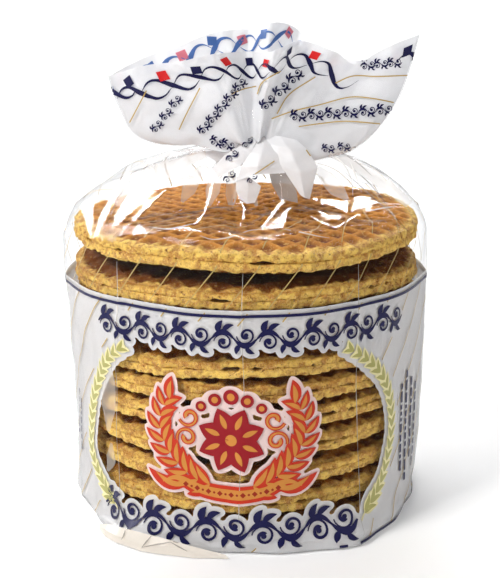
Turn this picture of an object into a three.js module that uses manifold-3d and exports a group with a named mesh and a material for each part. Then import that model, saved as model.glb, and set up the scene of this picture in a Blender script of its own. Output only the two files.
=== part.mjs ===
// A clear film bag of ten syrup wafels, gathered at the neck, closed with a small tie, its mouth spread in a fan.
// Millimetres, +Z up. The origin is on the surface the bag stands on, at the middle of its width and depth.
// The front of the bag faces -Y. The film and the stack of wafels in it are one solid.
import * as THREE from "three";
import { mergeVertices } from "three/addons/utils/BufferGeometryUtils.js";
import Module from "manifold-3d";

// Driving dimensions.
const WAFEL_DIAMETER = 100;
const WAFEL_COUNT = 10;
const WAFEL_PITCH = 8.4; // one wafel with the air under it
const FILM_SLACK = 3; // between the stack and the film round it
const FOLDED_FILM = 3; // the welded and folded film under the stack
const NECK_RISE = 17.5; // from the top wafel up to the foot of the neck
const NECK_RADIUS = 2.7;
const NECK_LENGTH = 7;
const NECK_OFFSET_X = 3.5; // the neck stands a little to the right of the stack's axis
const TIE_WALL = 0.8;
const TIE_WIDTH = 2.6;
const TIE_GAP = 0.4;

// Sizes that follow from them.
const BAG_RADIUS = WAFEL_DIAMETER / 2 + FILM_SLACK;
const STACK_TOP = FOLDED_FILM + WAFEL_COUNT * WAFEL_PITCH;
const SHOULDER_FOOT = STACK_TOP - 6; // where the film leaves the side of the stack
const NECK_FOOT = STACK_TOP + NECK_RISE;
const NECK_TOP = NECK_FOOT + NECK_LENGTH;
const BASE_EDGE = { width: 1.5, height: 2.5 }; // the rounded edge of the flat base
const SHOULDER_RADIUS = NECK_RADIUS + 3; // the shoulder ends here and the neck rises
const DOME_FULLNESS = 0.6; // the dome's power: 0.5 is a quarter of an ellipse, and more is flatter

// The grid of the bag's body.
const COLUMNS = 108;
const BASE_EDGE_RINGS = 3;
const SIDE_RINGS = 8;
const SIDE_SPACING = 1.35; // over 1 sets the rings closer together at the foot
const SHOULDER_RINGS = 22;

// Folds of the body. Angles are in radians from +X, anticlockwise from above.
const FRONT = -Math.PI / 2;
const SAG_HALF_ANGLE = 0.75; // the front of the shoulder, where the film has sunk on to the top wafel
const SAG_BLEND = 0.85; // the angle over which it rises to the taut shoulder at each side
const SAG_CLEARANCE = 2; // between the top wafel and the sunk film
const LOBES = [
  { angle: -0.72, halfWidth: 0.46, reach: 17, tip: 98 },
  { angle: -1.78, halfWidth: 0.46, reach: 11.5, tip: 97.5 },
  { angle: -2.56, halfWidth: 0.34, reach: 14.5, tip: 98.5 },
]; // the big folds under the tie, how far from the neck they reach and the height of their tips
const LOBE_SHARPNESS = 2; // how much steeper than a tent their flanks are
const VALLEY = { reach: 8.5, tip: 97.6 }; // between them
const LIP_WIDTH = 3.5; // from a tip down to the top wafel
const SHOULDER_PLEATS = 13;
const PLEAT_DEPTH = 2.2;
const PLEAT_START = 0.8;
const NECK_PLEATS = 12;
const NECK_PLEAT_DEPTH = 0.4;
const PUCKER_COUNT = 17; // round the foot of the bag
const PUCKER_DEPTH = 0.6;
const PUCKER_HEIGHT = 7;
const SLACK_WAVES = [
  { depth: 0.45, count: 5, lean: 0.04 },
  { depth: 0.3, count: 11, lean: -0.05 },
]; // the loose film round the stack; they lean by an angle for each millimetre of height
const CORNERS = [
  { angle: -2.2, halfWidth: 0.36, reach: 4.8, height: 8 },
  { angle: -0.98, halfWidth: 0.56, reach: 4, height: 8 },
  { angle: 1.25, halfWidth: 0.5, reach: 4, height: 8 },
]; // where the film is folded flat at the foot and sticks out

// The fan above the tie. Its two plies meet at a fold at each side and stand apart between.
const FAN_FOOT = NECK_TOP - 2;
const FAN_FOOT_HALF_WIDTH = 3.2;
const FAN_FOOT_HALF_DEPTH = 2.6;
const FRONT_MOUTH = [
  [-39.5, 0, 124.5],
  [-30, -4, 127.3],
  [-21, -6, 128.6],
  [-10.5, -8, 131.3],
  [-2, -5, 133.3],
  [7, -9, 133.8],
  [16, -6, 135],
  [25, -7, 132],
  [31, -3, 127.8],
  [39.5, -5, 132.6],
  [49, -2, 136],
];
const BACK_MOUTH = [
  [-39.5, 0, 124.5],
  [-29.5, 6, 129.2],
  [-20, 8, 132],
  [-8, 6, 137],
  [2, 9, 138],
  [11.5, 6, 139],
  [20, 7, 134],
  [31, 4, 128.5],
  [40, 4, 131],
  [49, -2, 136],
];
const LEFT_FOLD = [
  [-4, 109],
  [-13, 106.4],
  [-24, 104.5],
  [-32.5, 107.5],
  [-36.4, 114.8],
  [-38.6, 120.2],
]; // in X and Z, from the foot of the fan to its mouth
const RIGHT_FOLD = [
  [10.5, 108.6],
  [16, 105.4],
  [22, 103.2],
  [31, 103.4],
  [37, 107.8],
  [43.5, 117.5],
  [46.8, 127],
];
const FOLD_SHARE = 0.3; // the share of the fan's width that follows the fold at each side
const FAN_COLUMNS = 52;
const FAN_ROWS = 9;
const FILM_SOLID = 1.6; // the least thickness of the fan
const RUFFLE = { depth: 2.2, turns: 7, start: 0.9 };

const TAU = 2 * Math.PI;
const mix = (a, b, t) => a + (b - a) * t;
const clamp = (t) => Math.min(1, Math.max(0, t));
const smooth = (t) => clamp(t) ** 2 * (3 - 2 * clamp(t));

// A rounded fold: a wave of height 1 whose crests are sharper than a sine's.
function fold(angle) {
  return (2 / Math.PI) * Math.asin(0.96 * Math.sin(angle));
}

// How far apart two directions are, from 0 to PI.
function turnBetween(a, b) {
  const turn = Math.abs(a - b) % TAU;
  return Math.min(turn, TAU - turn);
}

// The radius of the film round the stack, with its slack creases, and the puckers and folded corners at the foot.
function sideRadius(angle, z) {
  const slack = SLACK_WAVES.reduce((sum, w) => sum + w.depth * (Math.sin(w.count * angle + w.lean * z) - 1), 0);
  const pucker = PUCKER_DEPTH * fold(PUCKER_COUNT * angle) * clamp(1 - z / PUCKER_HEIGHT);
  const corners = CORNERS.map((corner) => {
    const beside = clamp(1 - turnBetween(angle, corner.angle) / corner.halfWidth);
    return corner.reach * beside * clamp(1 - z / corner.height);
  });
  return BAG_RADIUS + slack + pucker + Math.max(...corners);
}

// The height of the taut shoulder, a low dome from the side of the bag to the neck.
function domeHeight(radius) {
  const share = clamp((radius - SHOULDER_RADIUS) / (BAG_RADIUS - SHOULDER_RADIUS));
  return mix(SHOULDER_FOOT, NECK_FOOT, (1 - share ** 2) ** DOME_FULLNESS);
}

// The height of the film where it falls from the neck to a tip and from there on to the top wafel.
function fallHeight(radius, { reach, tip }) {
  const slope = mix(NECK_FOOT, tip, clamp((radius - SHOULDER_RADIUS) / (reach - SHOULDER_RADIUS)));
  const lip = mix(tip, STACK_TOP + SAG_CLEARANCE, smooth((radius - reach) / LIP_WIDTH));
  return radius < reach ? slope : lip;
}

// The height of the sunk film: the big folds, and a valley between them.
function sunkHeight(radius, angle) {
  const valley = fallHeight(radius, VALLEY);
  const folds = LOBES.map((lobe) => {
    const weight = smooth(LOBE_SHARPNESS * (1 - turnBetween(angle, lobe.angle) / lobe.halfWidth));
    return mix(valley, fallHeight(radius, lobe), weight);
  });
  return Math.max(...folds);
}

// The height of the film at a radius and an angle: the dome, sunk on to the top wafel at the front between the folds.
function shoulderHeight(radius, angle) {
  const dome = domeHeight(radius);
  const share = clamp((BAG_RADIUS - radius) / (BAG_RADIUS - SHOULDER_RADIUS));
  const pleat = 0.5 + 0.5 * fold(SHOULDER_PLEATS * angle + PLEAT_START);
  const taut = dome - PLEAT_DEPTH * pleat * Math.sin(Math.PI * share);
  const sag = 1 - smooth((turnBetween(angle, FRONT) - SAG_HALF_ANGLE) / SAG_BLEND);
  return mix(taut, Math.min(dome, sunkHeight(radius, angle)), sag);
}

// The rings of the body from the flat base up to the top of the neck, each a list of points.
function bodyRings() {
  const angles = Array.from({ length: COLUMNS }, (_, i) => (TAU * i) / COLUMNS);
  const rings = [];
  const addRing = (point) => rings.push(angles.map((angle) => point(angle)));
  const polar = (radius, angle, z, x = 0) => [x + radius * Math.cos(angle), radius * Math.sin(angle), z];

  for (let i = 0; i <= BASE_EDGE_RINGS; i++) {
    const turn = (Math.PI / 2) * (i / BASE_EDGE_RINGS);
    const z = BASE_EDGE.height * (1 - Math.cos(turn));
    addRing((angle) => polar(sideRadius(angle, z) - BASE_EDGE.width * (1 - Math.sin(turn)), angle, z));
  }
  for (let i = 1; i <= SIDE_RINGS; i++) {
    const z = mix(BASE_EDGE.height, SHOULDER_FOOT, (i / SIDE_RINGS) ** SIDE_SPACING);
    addRing((angle) => polar(sideRadius(angle, z), angle, z));
  }
  for (let i = 1; i <= SHOULDER_RINGS; i++) {
    const share = i / SHOULDER_RINGS;
    addRing((angle) => {
      const radius = mix(sideRadius(angle, SHOULDER_FOOT), SHOULDER_RADIUS, share);
      return polar(radius, angle, shoulderHeight(Math.min(radius, BAG_RADIUS), angle), NECK_OFFSET_X * share);
    });
  }
  for (const z of [NECK_FOOT + 1, NECK_TOP]) {
    const radius = (angle) => NECK_RADIUS + NECK_PLEAT_DEPTH * fold(NECK_PLEATS * angle);
    addRing((angle) => polar(radius(angle), angle, z, NECK_OFFSET_X));
  }
  return rings;
}

// A closed geometry from rings of equal length, with a flat fan of faces over the first and the last.
function closedFromRings(rings) {
  const count = rings[0].length;
  const points = rings.flat();
  const faces = [];
  for (let k = 0; k + 1 < rings.length; k++) {
    for (let i = 0; i < count; i++) {
      const [a, b] = [k * count + i, k * count + ((i + 1) % count)];
      faces.push([a, b, b + count], [a, b + count, a + count]);
    }
  }
  const centreOf = (ring) => [0, 1, 2].map((n) => ring.reduce((sum, p) => sum + p[n], 0) / ring.length);
  const top = (rings.length - 1) * count;
  points.push(centreOf(rings[0]), centreOf(rings[rings.length - 1]));
  for (let i = 0; i < count; i++) {
    const next = (i + 1) % count;
    faces.push([points.length - 2, next, i], [points.length - 1, top + i, top + next]);
  }
  return geometryOf(points, faces);
}

function geometryOf(points, faces) {
  const geometry = new THREE.BufferGeometry();
  geometry.setAttribute("position", new THREE.Float32BufferAttribute(points.flat(), 3));
  geometry.setIndex(faces.flat());
  return geometry;
}

// A smooth line through points given in X, Y and Z.
function smoothLine(points) {
  return new THREE.CatmullRomCurve3(points.map((p) => new THREE.Vector3(...p)), false, "centripetal");
}

// The foot of one ply of the fan: half of a small oval round the neck. The side is -1 at the front and 1 at the back.
function fanFoot(across, side) {
  const turn = Math.PI * (1 - across);
  const x = NECK_OFFSET_X + FAN_FOOT_HALF_WIDTH * Math.cos(turn);
  return new THREE.Vector3(x, side * FAN_FOOT_HALF_DEPTH * Math.sin(turn), FAN_FOOT);
}

// The line of the fold at one side of the fan, from its foot to the corner of its mouth.
function sideFold(across, points, corner) {
  const foot = fanFoot(across, 1);
  const between = points.map(([x, z], i) => [x, mix(foot.y, corner[1], (i + 1) / (points.length + 1)), z]);
  return smoothLine([foot.toArray(), ...between, corner]);
}

const mouths = new Map([
  [-1, smoothLine(FRONT_MOUTH)],
  [1, smoothLine(BACK_MOUTH)],
]);
const leftFold = sideFold(0, LEFT_FOLD, FRONT_MOUTH[0]);
const rightFold = sideFold(1, RIGHT_FOLD, FRONT_MOUTH[FRONT_MOUTH.length - 1]);

// A point of a ply: across from 0 at the left fold to 1 at the right, and up from 0 at the foot to 1 at the mouth.
function fanPoint(side, across, up) {
  const straight = (a) => fanFoot(a, side).lerp(mouths.get(side).getPointAt(a), up);
  const point = straight(across);
  for (const [line, end] of [[leftFold, 0], [rightFold, 1]]) {
    const weight = 1 - smooth(Math.abs(across - end) / FOLD_SHARE);
    point.addScaledVector(line.getPointAt(up).sub(straight(end)), weight);
  }
  const middle = Math.sin(Math.PI * across);
  point.y += RUFFLE.depth * middle * up * fold(TAU * RUFFLE.turns * across + RUFFLE.start);
  point.y += side * FILM_SOLID * 0.5;
  return point.toArray();
}

// The fan as a solid between its two plies, both split into triangles alike.
function fanGeometry() {
  const points = [];
  const faces = [];
  const width = FAN_COLUMNS + 1;
  const index = (side, row, column) => (side * (FAN_ROWS + 1) + row) * width + column;
  for (const side of [-1, 1]) {
    for (let row = 0; row <= FAN_ROWS; row++) {
      for (let column = 0; column <= FAN_COLUMNS; column++) {
        points.push(fanPoint(side, column / FAN_COLUMNS, row / FAN_ROWS));
      }
    }
  }
  const quad = (a, b, c, d) => faces.push([a, b, c], [a, c, d]);
  for (let row = 0; row < FAN_ROWS; row++) {
    for (let column = 0; column < FAN_COLUMNS; column++) {
      const corners = (side) => [
        index(side, row, column),
        index(side, row, column + 1),
        index(side, row + 1, column + 1),
        index(side, row + 1, column),
      ];
      const [a, b, c, d] = corners(0);
      faces.push([a, b, c], [a, c, d]);
      const [e, f, g, h] = corners(1);
      faces.push([e, g, f], [e, h, g]);
    }
    quad(index(0, row, 0), index(0, row + 1, 0), index(1, row + 1, 0), index(1, row, 0));
    quad(
      index(0, row, FAN_COLUMNS),
      index(1, row, FAN_COLUMNS),
      index(1, row + 1, FAN_COLUMNS),
      index(0, row + 1, FAN_COLUMNS),
    );
  }
  for (let column = 0; column < FAN_COLUMNS; column++) {
    quad(index(0, 0, column), index(1, 0, column), index(1, 0, column + 1), index(0, 0, column + 1));
    quad(
      index(0, FAN_ROWS, column),
      index(0, FAN_ROWS, column + 1),
      index(1, FAN_ROWS, column + 1),
      index(1, FAN_ROWS, column),
    );
  }
  return geometryOf(points, faces);
}

// A closed geometry as a manifold-3d solid, and back.
const wasm = await Module();
wasm.setup();

function solidOf(geometry) {
  const bare = geometry.clone();
  bare.deleteAttribute("normal");
  bare.deleteAttribute("uv");
  const merged = mergeVertices(bare, 1e-4);
  const vertProperties = new Float32Array(merged.attributes.position.array);
  const triVerts = new Uint32Array(merged.index.array);
  return new wasm.Manifold(new wasm.Mesh({ numProp: 3, vertProperties, triVerts }));
}

function geometryFrom(solid) {
  const { vertProperties, triVerts } = solid.getMesh();
  const geometry = new THREE.BufferGeometry();
  geometry.setAttribute("position", new THREE.BufferAttribute(vertProperties, 3));
  geometry.setIndex(new THREE.BufferAttribute(triVerts, 1));
  geometry.computeVertexNormals();
  return geometry;
}

// The bag with its contents: the body, its neck and the fan are one piece of film.
function bag() {
  const body = solidOf(closedFromRings(bodyRings()));
  const fan = solidOf(fanGeometry());
  const film = new THREE.MeshStandardMaterial({ color: 0xe9e4dc, roughness: 0.25, metalness: 0 });
  const mesh = new THREE.Mesh(geometryFrom(body.add(fan)), film);
  mesh.name = "bag";
  return mesh;
}

// The tie: a plain band round the neck, just clear of the gathered film.
function neckTie() {
  const inner = NECK_RADIUS + NECK_PLEAT_DEPTH + TIE_GAP;
  const outer = inner + TIE_WALL;
  const half = TIE_WIDTH / 2;
  const chamfer = 0.3;
  const profile = [
    [inner, -half],
    [outer - chamfer, -half],
    [outer, chamfer - half],
    [outer, half - chamfer],
    [outer - chamfer, half],
    [inner, half],
    [inner, -half],
  ].map(([radius, z]) => new THREE.Vector2(radius, z));
  const paper = new THREE.MeshStandardMaterial({ color: 0xf1f0ee, roughness: 0.6, metalness: 0 });
  const band = new THREE.Mesh(new THREE.LatheGeometry(profile, 48), paper);
  band.name = "neck_tie";
  band.rotation.x = Math.PI / 2;
  band.position.set(NECK_OFFSET_X, 0, NECK_FOOT + 1 + TIE_GAP + half);
  return band;
}

const pack = new THREE.Group();
pack.add(bag(), neckTie());

export default pack;
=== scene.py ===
"""Looks of a clear film bag of ten syrup wafels, tied at the neck, with the film's mouth spread in a fan.

Sizes in the classes are millimetres in the frame's own axes: +Z is up and the front faces -Y. Meshes are made
in metres. Places on the film are u, the way round the bag from the middle of its front, and v, the way up it.
"""

import itertools
import logging
import math
from collections.abc import Callable, Sequence
from dataclasses import dataclass, field
from enum import Enum

import bpy
import numpy as np
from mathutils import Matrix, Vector
from mathutils.bvhtree import BVHTree


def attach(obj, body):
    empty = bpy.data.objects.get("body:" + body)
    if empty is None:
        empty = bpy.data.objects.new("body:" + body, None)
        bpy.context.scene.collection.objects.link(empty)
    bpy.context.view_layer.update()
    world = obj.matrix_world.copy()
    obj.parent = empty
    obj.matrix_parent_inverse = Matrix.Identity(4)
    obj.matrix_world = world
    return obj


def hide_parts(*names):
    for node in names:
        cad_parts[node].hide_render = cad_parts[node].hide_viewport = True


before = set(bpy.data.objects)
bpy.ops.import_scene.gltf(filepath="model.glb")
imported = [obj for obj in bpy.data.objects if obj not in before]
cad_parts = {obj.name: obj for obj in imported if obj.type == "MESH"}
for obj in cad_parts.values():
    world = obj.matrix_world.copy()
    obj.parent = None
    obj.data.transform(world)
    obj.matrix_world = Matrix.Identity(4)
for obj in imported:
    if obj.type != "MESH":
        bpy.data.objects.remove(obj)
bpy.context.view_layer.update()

MM = 0.001
TAU = 2 * math.pi
Array = np.ndarray
Color = tuple[float, float, float]
Piece = bpy.types.Object
Socket = bpy.types.NodeSocket
Material = bpy.types.Material
Rings = list[tuple[np.ndarray, float]]
PURE_WHITE: Color = (1.0, 1.0, 1.0)

log = logging.getLogger("bag")


# ---- Small tools ----


def mix(a: Array | float, b: Array | float, t: Array | float) -> Array | float:
    """The value a share t of the way from a to b."""
    return a + (b - a) * t


def smooth(t: Array | float) -> Array | float:
    """A soft step from 0 to 1."""
    t = np.clip(t, 0.0, 1.0)
    return t * t * (3 - 2 * t)


def fold(angle: Array) -> Array:
    """A rounded fold: a wave of height 1 whose crests are sharper than a sine's."""
    return (2 / math.pi) * np.arcsin(0.96 * np.sin(angle))


def polar(radius: Array | float, angle: Array, z: Array | float = 0.0) -> Array:
    """Points at radii in some directions, at a height."""
    return np.stack(np.broadcast_arrays(radius * np.cos(angle), radius * np.sin(angle), z), -1)


def turn_between(a: Array, b: float) -> Array:
    """How far directions are from another one, from 0 to pi."""
    turn = np.abs(a - b) % TAU
    return np.minimum(turn, TAU - turn)


def srgb(red: int, green: int, blue: int) -> Color:
    """A colour as it looks on a screen, turned into the linear values that shaders take."""

    def linear(value: int) -> float:
        """One channel of it."""
        share = value / 255
        return share / 12.92 if share <= 0.04045 else ((share + 0.055) / 1.055) ** 2.4

    return linear(red), linear(green), linear(blue)


def make_object(name: str, points: Array, faces: list | Array, soft: bool = True) -> Piece:
    """Makes a mesh object.

    Args:
        name: The piece's name.
        points: Its points in millimetres.
        faces: Its faces, as lists of point numbers.
        soft: Whether it is shaded smooth.

    Returns:
        The object, linked to the scene.
    """
    mesh = bpy.data.meshes.new(name)
    corners = faces.tolist() if isinstance(faces, np.ndarray) else faces
    mesh.from_pydata((np.asarray(points, float) * MM).tolist(), [], corners)
    mesh.polygons.foreach_set("use_smooth", [soft] * len(mesh.polygons))
    mesh.update()
    made = bpy.data.objects.new(name, mesh)
    bpy.context.scene.collection.objects.link(made)
    return made


def make_film_piece(name: str, points: Array, faces: list | Array, look: Material,
                    soft: bool = True) -> Piece:
    """Makes a piece of film or of print.

    Args:
        name: The piece's name.
        points: Its points in millimetres.
        faces: Its faces, as lists of point numbers.
        look: Its finish.
        soft: Whether it is shaded smooth.

    Returns:
        The piece, dressed.
    """
    piece = make_object(name, points, faces, soft)
    piece.data.materials.append(look)
    return piece


def set_attribute(piece: Piece, name: str, values: Array) -> None:
    """Stores one number for each point of a mesh, for its material to read."""
    attribute = piece.data.attributes.new(name, "FLOAT", "POINT")
    attribute.data.foreach_set("value", np.asarray(values, np.float32).ravel())


def grid_faces(rows: int, columns: int) -> Array:
    """Quads between the points of an open grid, which are stored row by row."""
    row, column = np.meshgrid(np.arange(rows - 1), np.arange(columns - 1), indexing="ij")
    first = row * columns + column
    return np.stack([first, first + columns, first + columns + 1, first + 1], -1).reshape(-1, 4)


def ring_faces(rows: int, columns: int) -> Array:
    """Quads between closed rings, which face out where the rings rise anticlockwise."""
    row, column = np.meshgrid(np.arange(rows - 1), np.arange(columns), indexing="ij")
    following = (column + 1) % columns
    corners = [row * columns + column, row * columns + following,
               (row + 1) * columns + following, (row + 1) * columns + column]
    return np.stack(corners, -1).reshape(-1, 4)


def closed_faces(rows: int, columns: int) -> list[list[int]]:
    """The quads between closed rings, with one more face over the first ring and one over the last."""
    first, last = list(range(columns)), list(range((rows - 1) * columns, rows * columns))
    return ring_faces(rows, columns).tolist() + [first[::-1], last]


class LatticeNoise:
    """Smooth random values in space, the same in every run."""

    SIZE = 48

    def __init__(self, seed: int) -> None:
        """Draws the values at the lattice's points."""
        self.table = np.random.default_rng(seed).uniform(-1, 1, (self.SIZE, self.SIZE, self.SIZE))

    def at(self, points: Array, cell: float) -> Array:
        """The value at each point, from -1 to 1.

        Args:
            points: Points in millimetres, with X, Y and Z in the last axis.
            cell: The lattice's spacing in millimetres.

        Returns:
            One value for each point.
        """
        scaled = np.asarray(points, float) / cell
        base = np.floor(scaled).astype(int)
        part = smooth(scaled - base)
        total = np.zeros(scaled.shape[:-1])
        for corner in itertools.product((0, 1), repeat=3):
            index = (base + np.array(corner)) % self.SIZE
            value = self.table[index[..., 0], index[..., 1], index[..., 2]]
            weight = 1.0
            for axis, step in enumerate(corner):
                weight = weight * (part[..., axis] if step else 1 - part[..., axis])
            total += value * weight
        return total


class CreaseField:
    """Flat facets between straight creases: random heights on an uneven lattice of triangles, closed in u."""

    TALL = 64

    def __init__(self, seed: int, around: float, cell: tuple[float, float], jitter: float = 0.38) -> None:
        """Draws the lattice.

        Args:
            seed: The seed of its random draws.
            around: The length in u after which it repeats.
            cell: The size of its cells in u and v.
            jitter: How far its corners stray, as a share of a cell.
        """
        draw = np.random.default_rng(seed)
        self.count = max(3, round(around / cell[0]))
        self.cell = (around / self.count, cell[1])
        self.jitter = jitter
        self.heights = draw.uniform(-1, 1, (self.count, self.TALL))
        self.strays = draw.uniform(-1, 1, (2, self.count, self.TALL))
        self.leans = draw.uniform(0, 1, (self.count, self.TALL)) < 0.5

    def _plane(self, table: Array, x: Array, y: Array) -> Array:
        """A table's value at places in cells, linear on each of the lattice's triangles."""
        i, j = np.floor(x).astype(int), np.floor(y).astype(int)
        fx, fy = x - i, y - j
        i0, i1, j0, j1 = i % self.count, (i + 1) % self.count, j % self.TALL, (j + 1) % self.TALL
        h00, h10, h01, h11 = table[i0, j0], table[i1, j0], table[i0, j1], table[i1, j1]
        rising = np.where(fx > fy, h00 + fx * (h10 - h00) + fy * (h11 - h10),
                          h00 + fy * (h01 - h00) + fx * (h11 - h01))
        falling = np.where(fx + fy < 1, h00 + fx * (h10 - h00) + fy * (h01 - h00),
                           h11 + (1 - fx) * (h01 - h11) + (1 - fy) * (h10 - h11))
        return np.where(self.leans[i0, j0], rising, falling)

    def at(self, u: Array, v: Array) -> Array:
        """The height at places on the film, from -1 to 1."""
        x, y = u / self.cell[0], v / self.cell[1]
        shift = [self.jitter * self._plane(table, x + 0.5, y + 0.5) for table in self.strays]
        return self._plane(self.heights, x + shift[0], y + shift[1])


class SmoothLine:
    """A smooth line through points, which can be asked for a place by its share of the length."""

    SAMPLES = 24

    def __init__(self, points: Sequence) -> None:
        """Makes a centripetal Catmull-Rom line through the points."""
        knots = np.array(points, float)
        knots = np.concatenate([[2 * knots[0] - knots[1]], knots, [2 * knots[-1] - knots[-2]]])
        spans = [self._span(knots[k - 1: k + 3]) for k in range(1, len(knots) - 2)]
        self.points = np.concatenate(spans + [knots[-2:-1]])
        steps = np.linalg.norm(np.diff(self.points, axis=0), axis=1)
        self.shares = np.concatenate([[0], np.cumsum(steps)]) / steps.sum()

    def _span(self, knots: Array) -> Array:
        """Places between the two middle ones of four knots."""
        times = [0.0]
        for a, b in zip(knots[:-1], knots[1:]):
            times.append(times[-1] + max(np.linalg.norm(b - a), 1e-6) ** 0.5)
        t = np.linspace(times[1], times[2], self.SAMPLES, endpoint=False)[:, None]

        def between(a: Array, b: Array, start: float, end: float) -> Array:
            """The linear blend of one step of the scheme."""
            return ((end - t) * a + (t - start) * b) / (end - start)

        a1 = between(knots[0], knots[1], times[0], times[1])
        a2 = between(knots[1], knots[2], times[1], times[2])
        a3 = between(knots[2], knots[3], times[2], times[3])
        b1 = between(a1, a2, times[0], times[2])
        b2 = between(a2, a3, times[1], times[3])
        return between(b1, b2, times[1], times[2])

    def at(self, share: Array | float) -> Array:
        """The places at shares of the line's length."""
        share = np.asarray(share, float)
        return np.stack([np.interp(share, self.shares, places) for places in self.points.T], -1)


# ---- Finishes ----


class Shader:
    """A material's node tree, with short calls that add nodes to it."""

    def __init__(self, name: str) -> None:
        """Starts an empty material."""
        self.material = bpy.data.materials.new(name)
        self.material.use_nodes = True
        self.tree = self.material.node_tree
        self.tree.nodes.clear()
        self.output = self.tree.nodes.new("ShaderNodeOutputMaterial")

    def add(self, kind: str, **inputs: object) -> bpy.types.Node:
        """Adds a node and sets or links its inputs, which are named by their labels with _ for a space."""
        node = self.tree.nodes.new(kind)
        for label, value in inputs.items():
            self.put(node, label.replace("_", " "), value)
        return node

    def put(self, node: bpy.types.Node, label: str | int, value: object) -> None:
        """Sets one input, or links it where the value is another node's output."""
        socket = node.inputs[label]
        if isinstance(value, Socket):
            self.tree.links.new(value, socket)
        elif isinstance(value, tuple) and len(value) == 3 and socket.type == "RGBA":
            socket.default_value = (*value, 1.0)
        else:
            socket.default_value = value

    def surface(self, kind: str, **inputs: object) -> Socket:
        """Adds a surface of one kind and gives its output; its inputs are named as for any node."""
        return self.add(f"ShaderNodeBsdf{kind}", **inputs).outputs[0]

    def math(self, operation: str, *values: object, clamp: bool = False) -> Socket:
        """The result of a sum on numbers or outputs."""
        node = self.tree.nodes.new("ShaderNodeMath")
        node.operation = operation
        node.use_clamp = clamp
        for index, value in enumerate(values):
            self.put(node, index, value)
        return node.outputs[0]

    def blend(self, share: object, first: object, second: object) -> Socket:
        """A colour between two, by a share."""
        node = self.tree.nodes.new("ShaderNodeMix")
        node.data_type = "RGBA"
        self.put(node, 0, share)
        self.put(node, 6, first)
        self.put(node, 7, second)
        return node.outputs[2]

    def layer(self, share: object, first: Socket, second: Socket) -> Socket:
        """A surface between two, by a share."""
        node = self.tree.nodes.new("ShaderNodeMixShader")
        self.put(node, 0, share)
        self.put(node, 1, first)
        self.put(node, 2, second)
        return node.outputs[0]

    def ramp(self, value: object, low: float, high: float) -> Socket:
        """A value stretched from low..high to 0..1, with soft ends."""
        node = self.tree.nodes.new("ShaderNodeMapRange")
        node.interpolation_type = "SMOOTHSTEP"
        self.put(node, "Value", value)
        self.put(node, "From Min", low)
        self.put(node, "From Max", high)
        return node.outputs["Result"]

    def noise(self, scale: float, detail: float = 2.0, roughness: float = 0.5) -> Socket:
        """Soft noise in the object's own space, with scale as lumps in a metre."""
        place = self.add("ShaderNodeTexCoord").outputs["Object"]
        return self.add("ShaderNodeTexNoise", Vector=place, Scale=scale, Detail=detail,
                        Roughness=roughness).outputs["Fac"]

    def value(self, name: str) -> Socket:
        """A number that the mesh holds for each point."""
        node = self.tree.nodes.new("ShaderNodeAttribute")
        node.attribute_name = name
        return node.outputs["Fac"]

    def bump(self, height: object, strength: float, distance: float) -> Socket:
        """A normal with relief in it; distance is in millimetres."""
        node = self.add("ShaderNodeBump", Height=height, Strength=strength, Distance=distance * MM)
        return node.outputs["Normal"]

    def finish(self, surface: Socket) -> Material:
        """Closes the material with its surface."""
        self.tree.links.new(surface, self.output.inputs["Surface"])
        return self.material


@dataclass(frozen=True)
class ClearFilm:
    """Thin clear film: what is behind shows through, and it mirrors bright things as two glossy faces do."""

    tint: Color = (0.98, 0.98, 0.98)
    edge_tint: Color = (0.6, 0.61, 0.62)
    veil: Color = (0.9, 0.9, 0.9)
    head_on: float = 0.007
    edge_on: float = 0.5
    roughness: float = 0.03
    haze: float = 0.001
    edge_haze: float = 0.12
    # Its broad waves and small ripples, as lumps in a metre, and their relief in millimetres.
    waves: float = 95.0
    ripples: float = 420.0
    ripple_share: float = 0.22
    waviness: float = 0.1
    relief: float = 0.4
    # How late tint, haze and gloss rise where the film turns away, as powers.
    tint_power: float = 4.0
    haze_power: float = 9.0
    gloss_power: float = 14.0
    name: str = "clear_film"

    def material(self) -> Material:
        """Builds it."""
        s = Shader(self.name)
        ripples = s.math("MULTIPLY", s.noise(self.ripples, 1.0), self.ripple_share)
        waves = s.math("ADD", s.noise(self.waves), ripples)
        normal = s.bump(waves, self.waviness, self.relief)
        facing = s.add("ShaderNodeLayerWeight", Blend=0.5, Normal=normal).outputs["Facing"]
        tint = s.blend(s.math("POWER", facing, self.tint_power), self.tint, self.edge_tint)
        haze = s.math("MULTIPLY", s.math("POWER", facing, self.haze_power), self.edge_haze)
        body = s.layer(s.math("ADD", haze, self.haze), s.surface("Transparent", Color=tint),
                       s.surface("Diffuse", Color=self.veil))
        gloss = s.surface("Glossy", Color=PURE_WHITE, Roughness=self.roughness, Normal=normal)
        grazing = s.math("MULTIPLY", s.math("POWER", facing, self.gloss_power), self.edge_on - self.head_on)
        return s.finish(s.layer(s.math("ADD", grazing, self.head_on, clamp=True), body, gloss))


@dataclass(frozen=True)
class InkFinish:
    """Print on the film: a colour with fine unevenness, which lets some light through."""

    name: str
    color: Color
    cover: float = 1.0
    glow: float = 0.0
    roughness: float = 0.4
    shine: float = 0.2
    # The unevenness: lumps in a metre, the shade of its dark parts, and its relief in millimetres.
    lumps: float = 900.0
    shade: float = 0.86
    relief: float = 0.1

    def material(self) -> Material:
        """Builds it."""
        s = Shader(self.name)
        speckle = s.noise(self.lumps, 3.0, 0.6)
        shade = tuple(self.shade * channel for channel in self.color)
        color = s.blend(s.math("MULTIPLY", speckle, 0.5), self.color, shade)
        surface = s.surface("Principled", Base_Color=color, Roughness=self.roughness,
                            Specular_IOR_Level=self.shine, Normal=s.bump(speckle, 0.15, self.relief))
        if self.glow > 0:
            surface = s.layer(self.glow, surface, s.surface("Translucent", Color=color))
        if self.cover < 1:
            surface = s.layer(self.cover, s.surface("Transparent", Color=PURE_WHITE), surface)
        return s.finish(surface)


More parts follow.
